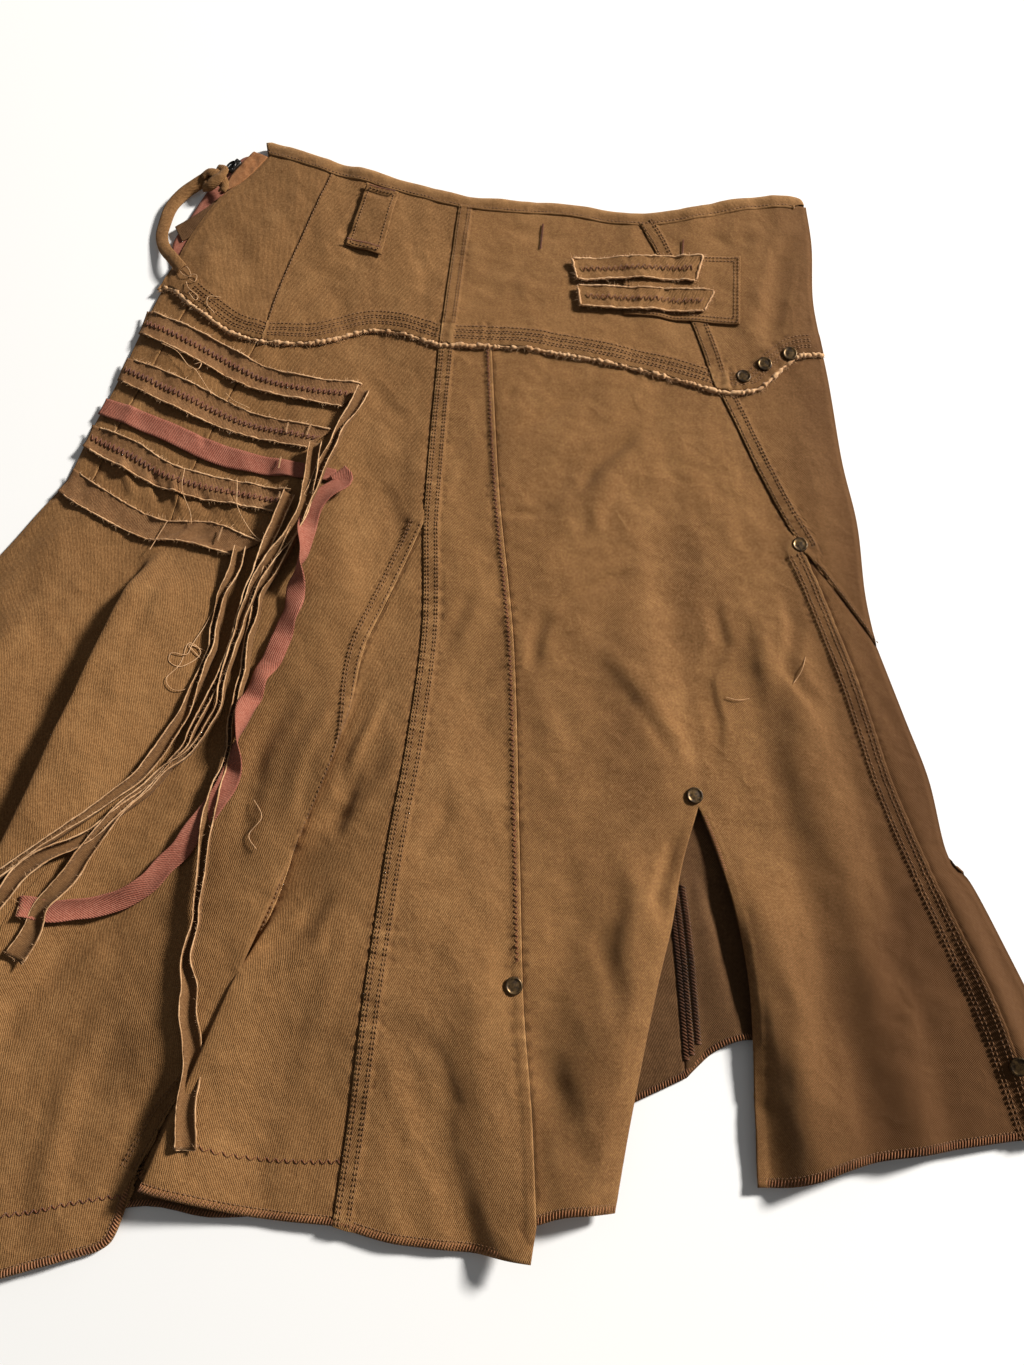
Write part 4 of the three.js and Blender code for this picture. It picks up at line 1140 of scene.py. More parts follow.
def trim(name, plan, material, layer, curl, pucker,
         pucker_size=7, runs_down=False):
    """A trim's surface: the folded height, its layers, the curl of its long edges, which is the fourth
    power of the share t from its middle, and its puckers. They lie along the trim, in two sizes of
    noise, or down it where it runs down."""
    rows, columns = plan.shape[:2]
    seed = len(cut_sizes)
    t = np.linspace(-1, 1, rows)[:, None]
    along = np.linspace(0, length_of(plan[rows // 2]), columns)[None]
    down = np.linspace(0, length_of(plan[:, columns // 2]), rows)[:, None]
    if runs_down:
        wave = ripple(down + 0 * along, 0.15 * along + 0 * down, pucker_size, seed)
    else:
        place_x, place_y = along + 0 * t, 6 * t + 0 * along
        wave = ripple(place_x, place_y, pucker_size, seed)
        wave = wave + 0.5 * ripple(place_x, place_y, pucker_size / 2, seed + 9)
    curled = curl * np.abs(t) ** 4 * (1 + 0.6 * ripple(along, 0 * along + 9, 9, seed))
    surface = laid(plan, LAYER * layer + curled + pucker * wave)
    sewn(name + "_cloth", plan, [name], material, wall=TRIM_WALL, surface=surface,
         flat=unrolled(surface))
    return surface


# %% Strips over the hip
strip_surfaces = {}
for name, (upper, lower) in STRIPS.items():
    plan = between(smooth_line(upper), smooth_line(lower), 1.5)
    if name == "tape":
        strip_surfaces[name] = trim(name, plan, cloth_pink, 1, 0.3, 0.2)
    else:
        strip_surfaces[name] = trim(name, plan, cloth_strip, 1, 0.9, 0.7)
print("strips:", {name: cut_sizes[name + "_cloth"] for name in STRIPS})

# %% Belt loop and patch
CORNERS = {  # top left, top right, bottom right, bottom left
    "belt_loop": ((-99, 541), (-77, 533), (-87, 482), (-111, 491)),
    "patch": ((74, 485), (152, 482), (148, 428), (73, 437)),
}
TRIM_CELL = 1.3
plans = {name: between(straight(top_left, top_right), straight(bottom_left, bottom_right), TRIM_CELL)
         for name, (top_left, top_right, bottom_right, bottom_left) in CORNERS.items()}
trim_surfaces = {
    "belt_loop": trim("belt_loop", plans["belt_loop"], cloth_brown, 2.3, 0, 0.9, pucker_size=5,
                      runs_down=True),
    "patch": trim("patch", plans["patch"], cloth_brown, 1.75, 0, 0.2),
}
PATCH_STRIPS = {
    "patch_strip_upper": ([(40, 479), (86, 482), (127, 482)], [(43, 463), (85, 464), (121, 462)]),
    "patch_strip_lower": ([(43, 458), (86, 456), (133, 454)], [(45, 442), (86, 439), (125, 438)]),
}
for name, (upper, lower) in PATCH_STRIPS.items():
    plan = between(smooth_line(upper), smooth_line(lower), TRIM_CELL)
    trim_surfaces[name] = trim(name, plan, cloth_brown, 2.45, 0.6, 0.6,
                               pucker_size=5)
print("trims:", {name: cut_sizes[name + "_cloth"] for name in trim_surfaces})

# %% [markdown]
# ## Loose tails
# The strips run on past the hip as loose tails over the front. They are flat strips that wash and
# wear have curled along their length. A tail is an arc carried along its route: the wider the arc's
# angle, the more the strip closes into a tube. It also turns about its route here and there.

# %% Table of tails
# A tail has a route of points, and rows that say, at a share of its length, how wide its arc is, how
# far it is turned, both in radians, and how many millimetres it lies above the cloth.
TAIL_COLUMNS = ("share", "arc", "turn", "above")
TAILS = {
    "tail_1": ([(-95, 379), (-108, 340), (-116, 322), (-129, 277), (-146, 242), (-150, 213), (-157, 174),
                (-165, 131), (-166, 96), (-168, 40), (-164, -12), (-161, -62)],
               [(0, 1.3, 0.3, 3), (0.08, 1.7, -0.6, 2.8), (0.2, 1.4, -0.3, 2.6), (0.42, 1.9, -0.5, 1.2),
                (0.55, 2.2, 0.5, 0.8), (0.63, 1.4, 0.2, 0.8), (0.75, 2.1, -0.4, 1.2),
                (0.84, 1.1, 0.2, 2.6), (0.93, 1.0, 0.1, 2.2), (1, 0.8, 0.1, 0.4)]),
    "tail_4": ([(-162, 269), (-169, 240), (-176, 196), (-194, 151), (-215, 121), (-241, 99), (-266, 77),
                (-292, 47)],
               [(0, 1.4, 0.2, 2.2), (0.25, 2.0, -0.6, 0.8), (0.5, 1.4, 0.5, 0.5), (0.8, 2.2, 0.3, 0.5),
                (1, 1.5, 0, 0.4)]),
    "tail_3": ([(-137, 304), (-153, 255), (-167, 196), (-192, 133), (-223, 102), (-253, 80), (-273, 56),
                (-286, 36)],
               [(0, 1.4, 0.7, 3.4), (0.3, 1.9, 0.4, 2.0), (0.6, 2.2, -0.6, 1.8), (0.85, 1.2, 0.5, 1.4),
                (1, 1.8, 0.2, 0.6)]),
    "tail_tape": ([(-107, 319), (-103, 311), (-120, 296), (-126, 258), (-131, 225), (-146, 183),
                   (-154, 143), (-167, 107), (-200, 69), (-235, 54), (-261, 55)],
                  [(0, 0.2, 0, 3.0), (0.12, 0.2, 0.1, 3.2), (0.19, 0.5, 1.2, 3.2), (0.26, 0.2, 2.9, 2.8),
                   (0.44, 0.4, 2.8, 2.2), (0.52, 0.4, 4.4, 2.0), (0.6, 0.2, 6.0, 1.8),
                   (0.85, 0.5, 6.4, 1.4), (1, 0.3, 6.2, 0.8)]),
    "tail_2": ([(-120, 338), (-129, 285), (-152, 245), (-162, 191), (-175, 153), (-200, 125), (-218, 107),
                (-238, 70), (-261, 30)],
               [(0, 1.3, -0.5, 4.4), (0.2, 1.6, 0.6, 4.0), (0.4, 1.9, -0.4, 3.6), (0.6, 2.2, 0.6, 3.0),
                (0.75, 1.6, 0.2, 2.6), (0.9, 0.9, -0.2, 2.2), (1, 0.7, 0, 0.9)]),
}
TAIL_WIDTH, TAIL_WALL = 12, 0.6
TAIL_STEP = 2.0  # millimetres from one cross-section to the next
TAIL_SLACK = 1.03  # the cut length over the route's length
CURLED = 1.2  # the table's arcs are taken times this
NARROWEST, WIDEST = 0.05, 2.7  # limits of the arc
SWAYS_FROM = 0.1  # share of the length in which the sway of the route comes in
print(len(TAILS), "tails,", TAIL_WIDTH, "mm wide")


# %% Ribbon along a route
def smoothed(values, reach):
    """A running mean over so many neighbours each side, with the ends held."""
    padded = np.pad(values, reach, mode="edge")
    return np.convolve(padded, np.ones(2 * reach + 1) / (2 * reach + 1), mode="valid")


def arc_section(arc, turn, width, count, opens=1):
    """Steps across and up at t from -1 to 1: sine(t arc), and one less cosine(t arc), both over the
    arc's curvature, so that the cloth keeps its width. The arc opens up for 1 and down for -1, and is
    then turned about the route."""
    t = np.linspace(-1, 1, count)[None]
    across = width / 2 * np.sin(t * arc) / arc
    up = opens * width / 2 * (1 - np.cos(t * arc)) / arc
    return across * np.cos(turn) - up * np.sin(turn), across * np.sin(turn) + up * np.cos(turn)


def ribbon(path, rows, width):
    """The arc's sections along a route that sways a little with noise, set down so that the lowest
    point of each rests on the smoothed cloth below."""
    line = smooth_line(path, TAIL_STEP)
    share = np.linspace(0, 1, len(line))
    along, level = np.arange(len(line)) * TAIL_STEP, np.zeros(len(line))
    seed = round(abs(path[0][0]))
    sway = 1.6 * ripple(along, level, 26, seed) + 0.7 * ripple(along, level, 11, seed + 1)
    line = beside(line, (ease(share / SWAYS_FROM) * sway)[:, None])
    columns = dict(zip(TAIL_COLUMNS, np.array(rows, float).T))
    arc, turn, above = [np.interp(share, columns["share"], columns[key]) for key in TAIL_COLUMNS[1:]]
    turn = smoothed(turn + 0.45 * ripple(along, level, 15, seed + 2), 3)
    arc = np.clip(CURLED * smoothed(arc, 3), NARROWEST, WIDEST)
    ground = np.max([folded(*beside(line, shift).T)[0] for shift in (-3, 0, 3)], axis=0)
    ground = np.maximum(smoothed(ground, 6), ground)
    across, up = arc_section(arc[:, None], turn[:, None], width, 13)
    up = up - up.min(1, keepdims=True) + (smoothed(ground, 3) + above)[:, None]
    plan = line[:, None] + square_to(line)[:, None] * across[..., None]
    return np.dstack([plan - MIDDLE, up]) / 1000


def ribbon_mesh(name, surface, width, length, wall, material=cloth_brown, slot="twill"):
    """A ribbon's mesh and wall. Its flat coordinates are its width across and its length down."""
    down, across = np.meshgrid(np.linspace(0, length, surface.shape[0]),
                               np.linspace(0, width, surface.shape[1]), indexing="ij")
    flat = np.stack([across, -down], -1).reshape(-1, 2)
    thing = mesh_object(name, surface.reshape(-1, 3), grid_faces(*surface.shape[:2]), material,
                        flat)
    with_wall(thing, wall)
    return thing


# %% Tails
tail_surfaces = {}
for name, (path, rows) in TAILS.items():
    surface = ribbon(path, rows, TAIL_WIDTH)
    length = length_of(smooth_line(path)) / 1000
    finish = (cloth_pink, "tape") if name == "tail_tape" else (cloth_tail, "twill")
    tail = ribbon_mesh(name + "_cloth", surface, TAIL_WIDTH / 1000, length, TAIL_WALL, *finish)
    declare_sheet(tail, TAIL_WIDTH / 1000, length * TAIL_SLACK)
    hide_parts(name)
    tail_surfaces[name] = surface
print("tails:", {k: v for k, v in cut_sizes.items() if k.startswith("tail")})

# %% [markdown]
# ## Side opening
# The zip opening on the left hip shows a rust facing, the pink zip tape, a strip of the underlap,
# the slider and a loop of the skirt's own twill, tied in a knot beside the slider.

# %% Side opening
def opening_piece(name, outer, inner_line, material, lift, rough=0.0, step=1.2, cell=1.0):
    """A small piece beside the yoke's edge, from its outer line to its inner line, lifted off the
    back and made rough by noise."""
    plan = between(smooth_line(outer, step), smooth_line(inner_line, step), cell)[::-1]
    surface = laid_flat(plan)
    surface[..., 2] += (lift + rough * ripple(plan[..., 0], plan[..., 1], 3.5, 21)) / 1000
    sewn(name + "_cloth", plan, [name], material, wall=TRIM_WALL, surface=surface,
         flat=unrolled(surface))


opening_piece("zip_tape", [(-181, 573), (-190, 569), (-207, 547), (-219, 522), (-229, 499), (-227, 481)],
              [(-172, 570), (-178, 559), (-199, 538), (-210, 519), (-219, 500), (-225, 481)],
              cloth_pink, 0.9, step=2.5, cell=1.5)
opening_piece("facing", [(-180, 575), (-187, 566), (-194, 555), (-199, 541)],
              [(-170, 570), (-177, 560), (-186, 549), (-198, 540)], cloth_rust, 2.6, 0.5)
opening_piece("underlap", [(-200, 537), (-209, 527), (-216, 521), (-229, 511)],
              [(-198, 532), (-207, 519), (-213, 507), (-223, 499)], cloth_inside, 2.2, 0.15)
print("opening:", {k: v for k, v in cut_sizes.items() if k.startswith(("zip", "facing", "under"))})


# %% Tubes
def tube(path, radius, sides):
    """Circles of the given radius carried along a path in metres: centre plus radius times
    (cosine of the angle across, sine of the angle up). Both ends close in a point."""
    along = np.gradient(path, axis=0)
    along /= np.linalg.norm(along, axis=1)[:, None] + 1e-12
    across = np.cross(along, [0, 0, 1.0])
    across /= np.linalg.norm(across, axis=1)[:, None] + 1e-12
    up = np.cross(across, along)
    radius = np.broadcast_to(radius, len(path)).copy()
    radius[[0, -1]] = 0
    angle = np.linspace(0, 2 * np.pi, sides, endpoint=False)
    level, upright = np.cos(angle)[None, :, None], np.sin(angle)[None, :, None]
    ring = level * across[:, None] - upright * up[:, None]
    return path[:, None] + ring * radius[:, None, None]


def joined(name, grids, material):
    """Several closed grids of points as one mesh."""
    points, quads, start = [], [], 0
    for grid in grids:
        points.append(grid.reshape(-1, 3))
        quads.append(grid_faces(*grid.shape[:2], wrap=True) + start)
        start += len(points[-1])
    return mesh_object(name, np.vstack(points), np.vstack(quads)[:, ::-1], material)


# %% Fabric loop, knot and slider
LOOP_ROUTE = [(-201, 550, 8.8), (-209, 549, 7.2), (-217, 545, 5.4), (-226, 538, 4.2), (-233, 528, 3.4),
              (-236, 515, 3.4), (-237, 503, 3.6), (-233, 491, 5.6), (-226, 481, 8.5), (-219, 472, 9)]
LOOP_WIDTH, LOOP_WALL = 8, 0.9
STRAP_SLACK, STRAP_CUT = 1.02, 0.01  # cut length over the route's, and the least cut width in metres
KNOT_WIDTH = 7.6


def strap(route, width, arc, turn):
    """The arc's sections, open downwards, along a route in space. The arc swells and narrows by a
    sine, and the turn eases from its first value to its second."""
    line = smooth_line(route, 1.5)
    share = np.linspace(0, 1, len(line))[:, None]
    arc = arc * (1 + 0.3 * np.sin(9 * share))
    turn = turn[0] + (turn[1] - turn[0]) * ease(share)
    across, up = arc_section(arc, turn, width, 11, opens=-1)
    plan = line[:, None, :2] + square_to(line[:, :2])[:, None] * across[..., None]
    height = line[:, None, 2] + up - up.mean(1, keepdims=True)
    return np.dstack([plan - MIDDLE, height]) / 1000


def add_strap(name, route, width, arc, turn):
    """A strap as a sheet with its wall."""
    surface = strap(route, width, arc, turn)
    length = length_of(smooth_line(route)) / 1000
    thing = ribbon_mesh(name, surface, width / 1000, length, LOOP_WALL)
    declare_sheet(thing, max(width / 1000, STRAP_CUT), length * STRAP_SLACK)
    return thing


loop = add_strap("side_loop_cloth", LOOP_ROUTE, LOOP_WIDTH, 0.55, (0.6, -0.3))
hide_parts("side_loop")
KNOT = {
    "knot_over_cloth": ([(-213, 550, 8), (-207, 552, 10.6), (-201, 548, 11), (-197, 541, 9.5),
                         (-199, 537, 8)], 0.4),
    "knot_under_cloth": ([(-203, 555, 8), (-198, 552, 10.8), (-200, 545, 12.2), (-206, 540, 10.4),
                          (-211, 541, 8)], -0.5),
}
for name, (route, turn) in KNOT.items():
    add_strap(name, route, KNOT_WIDTH, 0.9, (turn, -turn))
print("loop and knot:", {k: v for k, v in cut_sizes.items() if k.startswith(("side_loop", "knot"))})


# %% Zip slider
SQUARENESS = 0.6  # 1 would be a ball, and near 0 a box
DRAWN_IN = 0.22


def slider_body(length, width, height):
    """A rounded block: at angles a along and b round, each cosine and sine is raised to a power with
    its sign kept, and the waist is drawn in by a share of the cosine squared."""
    power = lambda value: np.sign(value) * np.abs(value) ** SQUARENESS
    a = np.linspace(-np.pi / 2, np.pi / 2, 17)[:, None]
    b = np.linspace(0, 2 * np.pi, 24, endpoint=False)[None]
    waist_in = 1 - DRAWN_IN * np.cos(a) ** 2
    x = width / 2 * power(np.cos(a)) * power(np.cos(b)) * waist_in
    y = length / 2 * power(np.sin(a)) + 0 * b
    z = height / 2 * power(np.cos(a)) * power(np.sin(b))
    return np.stack([x, y, z], -1)


def turned(points, degrees, place):
    """Points turned about the vertical and moved to a place of the pattern, in metres."""
    angle = math.radians(degrees)
    turn = np.array([[math.cos(angle), -math.sin(angle)], [math.sin(angle), math.cos(angle)]])
    moved = np.concatenate([points[..., :2] @ turn.T, points[..., 2:]], -1) + np.array(place)
    moved[..., :2] -= MIDDLE
    return moved / 1000


def ring_path(long_way, short_way, lift):
    """A flat oval: half lengths times cosine and sine, rising towards one end."""
    angle = np.linspace(0, 2 * np.pi, 33)
    x, y = short_way * np.cos(angle), long_way * np.sin(angle)
    return np.stack([x, y, lift + 0.4 * np.sin(angle)], -1)


SLIDER_PLACE, SLIDER_TURN = (-192, 560, 6.6), -36
PULL_WIRE = 0.0007  # metres, radius
body = turned(slider_body(12, 6.4, 2.6), SLIDER_TURN, SLIDER_PLACE)
bridge = turned(slider_body(4, 2.6, 2.4) + [0, 3, 1.8], SLIDER_TURN, SLIDER_PLACE)
pull = turned(ring_path(4.5, 2.2, 2.2) + [0, -3, 0], SLIDER_TURN, SLIDER_PLACE)
slider = joined("zip_slider_metal", [body, bridge, tube(pull, PULL_WIRE, 8)], black_metal)
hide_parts("zip_slider")
print("slider of", len(slider.data.polygons), "faces")

# %% [markdown]
# ## Rivets
# Eight capped rivets hold the ends of seams. A cap is a shallow dish with a rolled rim, spun about
# its axis. It sits square on the cloth, so it tips where the cloth slopes.

# %% Rivets
# For each rivet: its place, and the layers of cloth that it stands on.
RIVETS = {
    "rivet_yoke_1": (148, 390, 2), "rivet_yoke_2": (162, 399, 2), "rivet_yoke_3": (179, 407, 2),
    "rivet_side": (174, 272, 1), "rivet_slit": (102, 118, 1), "rivet_centre": (1, 16, 1),
    "rivet_left": (-272, 15, 1), "rivet_right": (260, -24, 1),
}
RIVET_RADIUS = 4.8
SLOPE_REACH, STEEPEST = 6, 0.25  # the slope is read this far each way, and held to this
RIVET_STANDS = 0.9  # millimetres from the cloth to the profile's zero
RIVET_PROFILE = np.array([  # share of the radius, height in millimetres
    (0, -0.6), (0.9, -0.6), (1.0, -0.2), (1.0, 0.35), (0.97, 0.75), (0.9, 1.05), (0.82, 1.1), (0.74, 0.95),
    (0.68, 0.8), (0.5, 0.86), (0.25, 0.95), (0, 0.98)])


def rivet_cap(x, y, layer):
    """The profile spun round in 40 steps, tipped to the slope of the cloth, and set on it. The slope
    is the height's difference between two points each way over the distance between them."""
    angle = np.linspace(0, 2 * np.pi, 40, endpoint=False)[None]
    share, height = RIVET_PROFILE[:, :1], RIVET_PROFILE[:, 1:]
    cap_x, cap_y = RIVET_RADIUS * share * np.cos(angle), RIVET_RADIUS * share * np.sin(angle)
    reach = SLOPE_REACH
    around = folded(np.array([x - reach, x + reach, x, x]), np.array([y, y, y - reach, y + reach]))[0]
    rise_x, rise_y = around[1] - around[0], around[3] - around[2]
    slope_x, slope_y = np.clip(np.array([rise_x, rise_y]) / (2 * reach), -STEEPEST, STEEPEST)
    cap_z = height + slope_x * cap_x + slope_y * cap_y
    seat = around.mean() + LAYER * (layer - 1) + RIVET_STANDS
    place = np.array([x - MIDDLE[0], y - MIDDLE[1], seat])
    return (np.stack([cap_x, cap_y, cap_z], -1) + place) / 1000


for name, (x, y, layer) in RIVETS.items():
    cap = joined(name + "_cap", [rivet_cap(x, y, layer)], brass)
    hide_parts(name)
print(len(RIVETS), "rivets of", 2 * RIVET_RADIUS, "mm")

# %% [markdown]
# ## Stitches
# A stitch is a short spindle of thread that arches out of the cloth and back. All stitches of a kind
# are arrays that make one mesh: rows beside the seams, zigzags on the strips, and slanted stitches
# round the hems.

# %% Stitch tools
THREAD = 0.28  # millimetres, radius
STITCH_FILL = 0.78  # share of the pitch that a stitch takes, and the rest is the gap to the next
DOWN = np.array([0, 0, -1.0])


def spun(centre, side, radius, corners, first=0.0):
    """Rings about centres: radius times (cosine of the angle to the side, sine of it down)."""
    angle = np.linspace(0, 2 * np.pi, corners, endpoint=False) + first
    level = (radius * np.cos(angle))[..., None] * side[:, None, None]
    return centre[:, :, None] + level + (radius * np.sin(angle))[..., None] * DOWN


def thread_mesh(name, groups, material):
    """Many short threads, each of the same rings of corners, as one mesh."""
    parts = np.concatenate(groups)
    count, rings, corners = parts.shape[:3]
    one = grid_faces(rings, corners, wrap=True)[:, ::-1]
    quads = (one[None] + (np.arange(count) * rings * corners)[:, None, None]).reshape(-1, 4)
    mesh_object(name, parts.reshape(-1, 3), quads, material)
    print(name, "has", count, "threads")


def spindles(starts, ends, thick=THREAD, arch=0.25):
    """For each pair of points, four rings of four corners: the centre runs from start to end with a
    sine's arch up, and the radius is nothing at the ends and full between them."""
    share = np.array([0, 0.3, 0.7, 1])[None, :, None]
    centre = starts[:, None] * (1 - share) + ends[:, None] * share
    centre[..., 2] += arch / 1000 * np.sin(np.pi * share[..., 0])
    across = np.cross(ends - starts, -DOWN)
    across /= np.linalg.norm(across, axis=1)[:, None] + 1e-12
    radius = np.array([0, thick, thick, 0])[None, :, None] / 1000
    return spun(centre, across, radius, 4, np.pi / 4)


def row_beside(line, offset, pitch):
    """Start and end points of a row of stitches, at a distance to the right of a line. No two gaps
    are quite alike."""
    line = beside(line, offset)
    count = max(2, int(length_of(line) / pitch))
    jitter = noise_source.uniform(-0.08, 0.08, count)
    start = (np.arange(count) + 0.1 + jitter) / count
    return at_shares(line, start), at_shares(line, np.minimum(start + STITCH_FILL / count, 1))


def on_cloth(pair, lift, bands=(), **more):
    """Spindles between pattern points that lie on the folded front."""
    start, end = pair
    return spindles(laid(start, lift, bands), laid(end, lift, bands), **more)


def zigzag_beside(line, offset, pitch, swing):
    """Each stitch crosses from one side of the row to the other."""
    count = max(2, int(length_of(line) / pitch))
    share = np.linspace(0, 1, count + 1)
    near, far = beside(line, offset - swing / 2), beside(line, offset + swing / 2)
    odd = (np.arange(count + 1) % 2)[:, None] == 1
    corner = np.where(odd, at_shares(near, share), at_shares(far, share))
    return corner[:-1], corner[1:]


def on_grid(surface, down, across):
    """Points of a grid at shares down and across it, mixed between the four nearest."""
    i, j = down * (surface.shape[0] - 1.001), across * (surface.shape[1] - 1.001)
    a, b = i.astype(int), j.astype(int)
    s, t = (i - a)[:, None], (j - b)[:, None]
    upper = surface[a, b] * (1 - t) + surface[a, b + 1] * t
    lower = surface[a + 1, b] * (1 - t) + surface[a + 1, b + 1] * t
    return upper * (1 - s) + lower * s


def on_trim(surface, start, end, pitch, swing=0.0, lift=0.2, thick=THREAD):
    """Stitches on a trim along a straight line between two places, each a share down and across. With
    a swing, in millimetres, they zigzag by that much; else they lie end to end with gaps."""
    start, end = np.array(start, float), np.array(end, float)
    size = np.array([length_of(surface[:, 0]), length_of(surface[0])]) * 1000
    length = float(np.hypot(*((end - start) * size)))
    count = max(2, int(length / pitch))
    share = np.arange(count + 1) / count
    square = np.array([-(end - start)[1] * size[1], (end - start)[0] * size[0]]) / length / size
    side = swing / 2 * (1 - 2 * (np.arange(count + 1) % 2))
    corner = start + (end - start) * share[:, None] + square * side[:, None]
    fill = 1 if swing else STITCH_FILL
    ends = corner[:-1], corner[:-1] + (corner[1:] - corner[:-1]) * fill
    first, last = [on_grid(surface, *np.clip(part, 0, 1).T) + [0, 0, lift / 1000] for part in ends]
    return spindles(first, last, thick=thick)


# %% Rows beside the seams
edge_line = run("yoke_edge_side", "yoke_edge_left", "yoke_edge_centre", "yoke_edge_right")
STITCHED_FROM = 9  # the yoke's rows start at this point of its edge, inside the skirt's side
SEAM_PITCH, SEAM_LIFT = 2.6, 0.12
# For each seam: its line, its bands, how far to the right of it each row runs, and its layer.
SEAM_ROWS = [
    (run("seam_main_top", "seam_main"), ["main"], (-1.6, -3.2, -7.2, -8.6), 0),
    (run("seam_godet"), ["godet"], (1.6, 6.6, 8.2), 0),
    (run("seam_right"), ["right"], (-1.8, -7.0, -8.6), 0),
    (run("seam_godet_right"), ["godet right"], (2.0, 4.2, 8.2, 10.0), 0),
    (run("seam_godet_top"), ["godet top"], (-1.4,), 0),
    (run("yoke_seam_main"), ["yoke main"], (-1.8, -6.8, -8.4), 1),
    (run("yoke_seam_right"), ["yoke right"], (-1.8, -7.6, -9.2), 1),
    (run("yoke_seam_side"), ["yoke side"], (-0.8,), 1),
    (edge_line[STITCHED_FROM:-3], ["yoke edge"], (-4.6, -6.2, -9.0, -10.6, -13.6), 1),
]
seam_groups = [on_cloth(row_beside(line, offset, SEAM_PITCH), SEAM_LIFT + LAYER * layer, bands)
               for line, bands, offsets, layer in SEAM_ROWS for offset in offsets]
thread_mesh("seam_stitches", seam_groups, thread_brown)

# %% Zigzag rows
ZIGZAG_ENDS = -50  # the zigzag seam's last points, below its rivet, have no stitches
zigzag_row = zigzag_beside(run("seam_zigzag")[:ZIGZAG_ENDS], 2.9, 1.5, 2.6)
zigzag_groups = [on_cloth(zigzag_row, 0.15, ["zigzag"], thick=0.3)]
for name in ("strip_1", "strip_2", "strip_3"):
    zigzag_groups.append(on_trim(strip_surfaces[name], (0.5, 0.02), (0.5, 0.99), 1.8, swing=5.0,
                                 lift=0.35, thick=0.36))
for name in PATCH_STRIPS:
    zigzag_groups.append(on_trim(trim_surfaces[name], (0.5, 0.05), (0.5, 0.95), 2.0, swing=4.6,
                                 lift=0.5, thick=0.27))
HEM_ZIGZAGS = [[(-262, -94), (-240, -92), (-225, -89), (-206, -86), (-191, -85)],
               [(-156, -62), (-137, -67), (-107, -69), (-84, -69)]]
zigzag_groups += [on_cloth(zigzag_beside(smooth_line(line), 0, 2.2, 2.6), 0.15) for line in HEM_ZIGZAGS]
thread_mesh("zigzag_stitches", zigzag_groups, thread_rust)

# %% Hems
HEMS = ["hem_flounce", "hem_left", "hem_godet", "hem_centre", "hem_front_left", "hem_front_right",
        "hem_godet_right"]


def slanted_over(line, surface_of, reach=4.2, pitch=1.5, slant=1.2, thick=0.33):
    """Stitches from just outside the edge to a line inside it, each slanted along the hem."""
    count = int(length_of(line) / pitch)
    share = (np.arange(count) + 0.5) / count
    slide = slant / length_of(line)
    start = at_shares(beside(line, 0.3), share)
    end = at_shares(beside(line, -reach), np.clip(share + slide, 0, 1))
    return spindles(surface_of(start), surface_of(end), thick=thick, arch=0.35)


SLIT_OVERCAST = 16  # points of the slit's right edge, from the rivet down, that show their stitches
slit_edge = run("slit_right")[2:SLIT_OVERCAST]
hem_groups = [slanted_over(run(name), lambda plan: laid(plan, 0.1)) for name in HEMS]
hem_groups.append(slanted_over(slit_edge, lambda plan: laid(plan, 0.6), reach=2.6))
on_back_hem = lambda plan: laid_flat(plan) + [0, 0, 0.0001]
for name in ("back_hem_left", "back_hem_right"):
    hem_groups.append(slanted_over(run(name), on_back_hem, reach=3.6))
thread_mesh("hem_stitches", hem_groups, thread_hem)

# %% Overcast seam inside the slit
# Three rows side by side, each ending some points short of the hem: its offset, and how many.
inner_seam = run("back_inner_seam")
on_back_seam = lambda plan: laid_flat(plan, ["back"]) + [0, 0, 0.0003]
INNER_ROWS = [(1.5, 2), (-1.5, 3), (-5.5, 5)]
inner_groups = [slanted_over(beside(inner_seam[:-short], offset), on_back_seam, reach=3.4, pitch=1.7,
                             slant=2.4, thick=0.5) for offset, short in INNER_ROWS]
thread_mesh("inner_seam_stitches", inner_groups, thread_dark)
chain_groups = [on_cloth(row_beside(run(name), -4.3, 1.9), 0.12) for name in HEMS]
thread_mesh("hem_chain", chain_groups, thread_brown)

# %% Topstitching of trims
BINDING_ROW = 9.0  # millimetres in from the waist's edge
start, end = row_beside(beside(waist, BINDING_ROW), 0, SEAM_PITCH)
raised = lambda plan: np.c_[plan - MIDDLE, over_yoke(plan, 0.75)] / 1000
trim_groups = [spindles(raised(start), raised(end))]
INSETS = [("belt_loop", 0.05, 0.12), ("patch", 0.03, 0.02), ("patch", 0.08, 0.05)]
for name, down, across in INSETS:  # a rectangle of stitches, these shares in from the trim's edges
    corners = [(down, across), (down, 1 - across), (1 - down, 1 - across), (1 - down, across)]
    for start, end in zip(corners, corners[1:] + corners[:1]):
        trim_groups.append(on_trim(trim_surfaces[name], start, end, 2.4))
thread_mesh("trim_stitches", trim_groups, thread_brown)

# %% [markdown]
# ## Raw edges
# A raw twill edge frays: the yarns along the edge fall out, and the ends of the others curl up into
# a pale fringe. A lumpy cord of pale yarn follows each raw edge, and short fibres stand out of it.

# %% Fraying tools
LUMPS = 0.5  # share of a cord's radius that its lumps add or take
FIBRE = 0.13  # millimetres, radius
FLOOR_GAP = 0.0004  # metres that a fibre keeps above the surface below the skirt


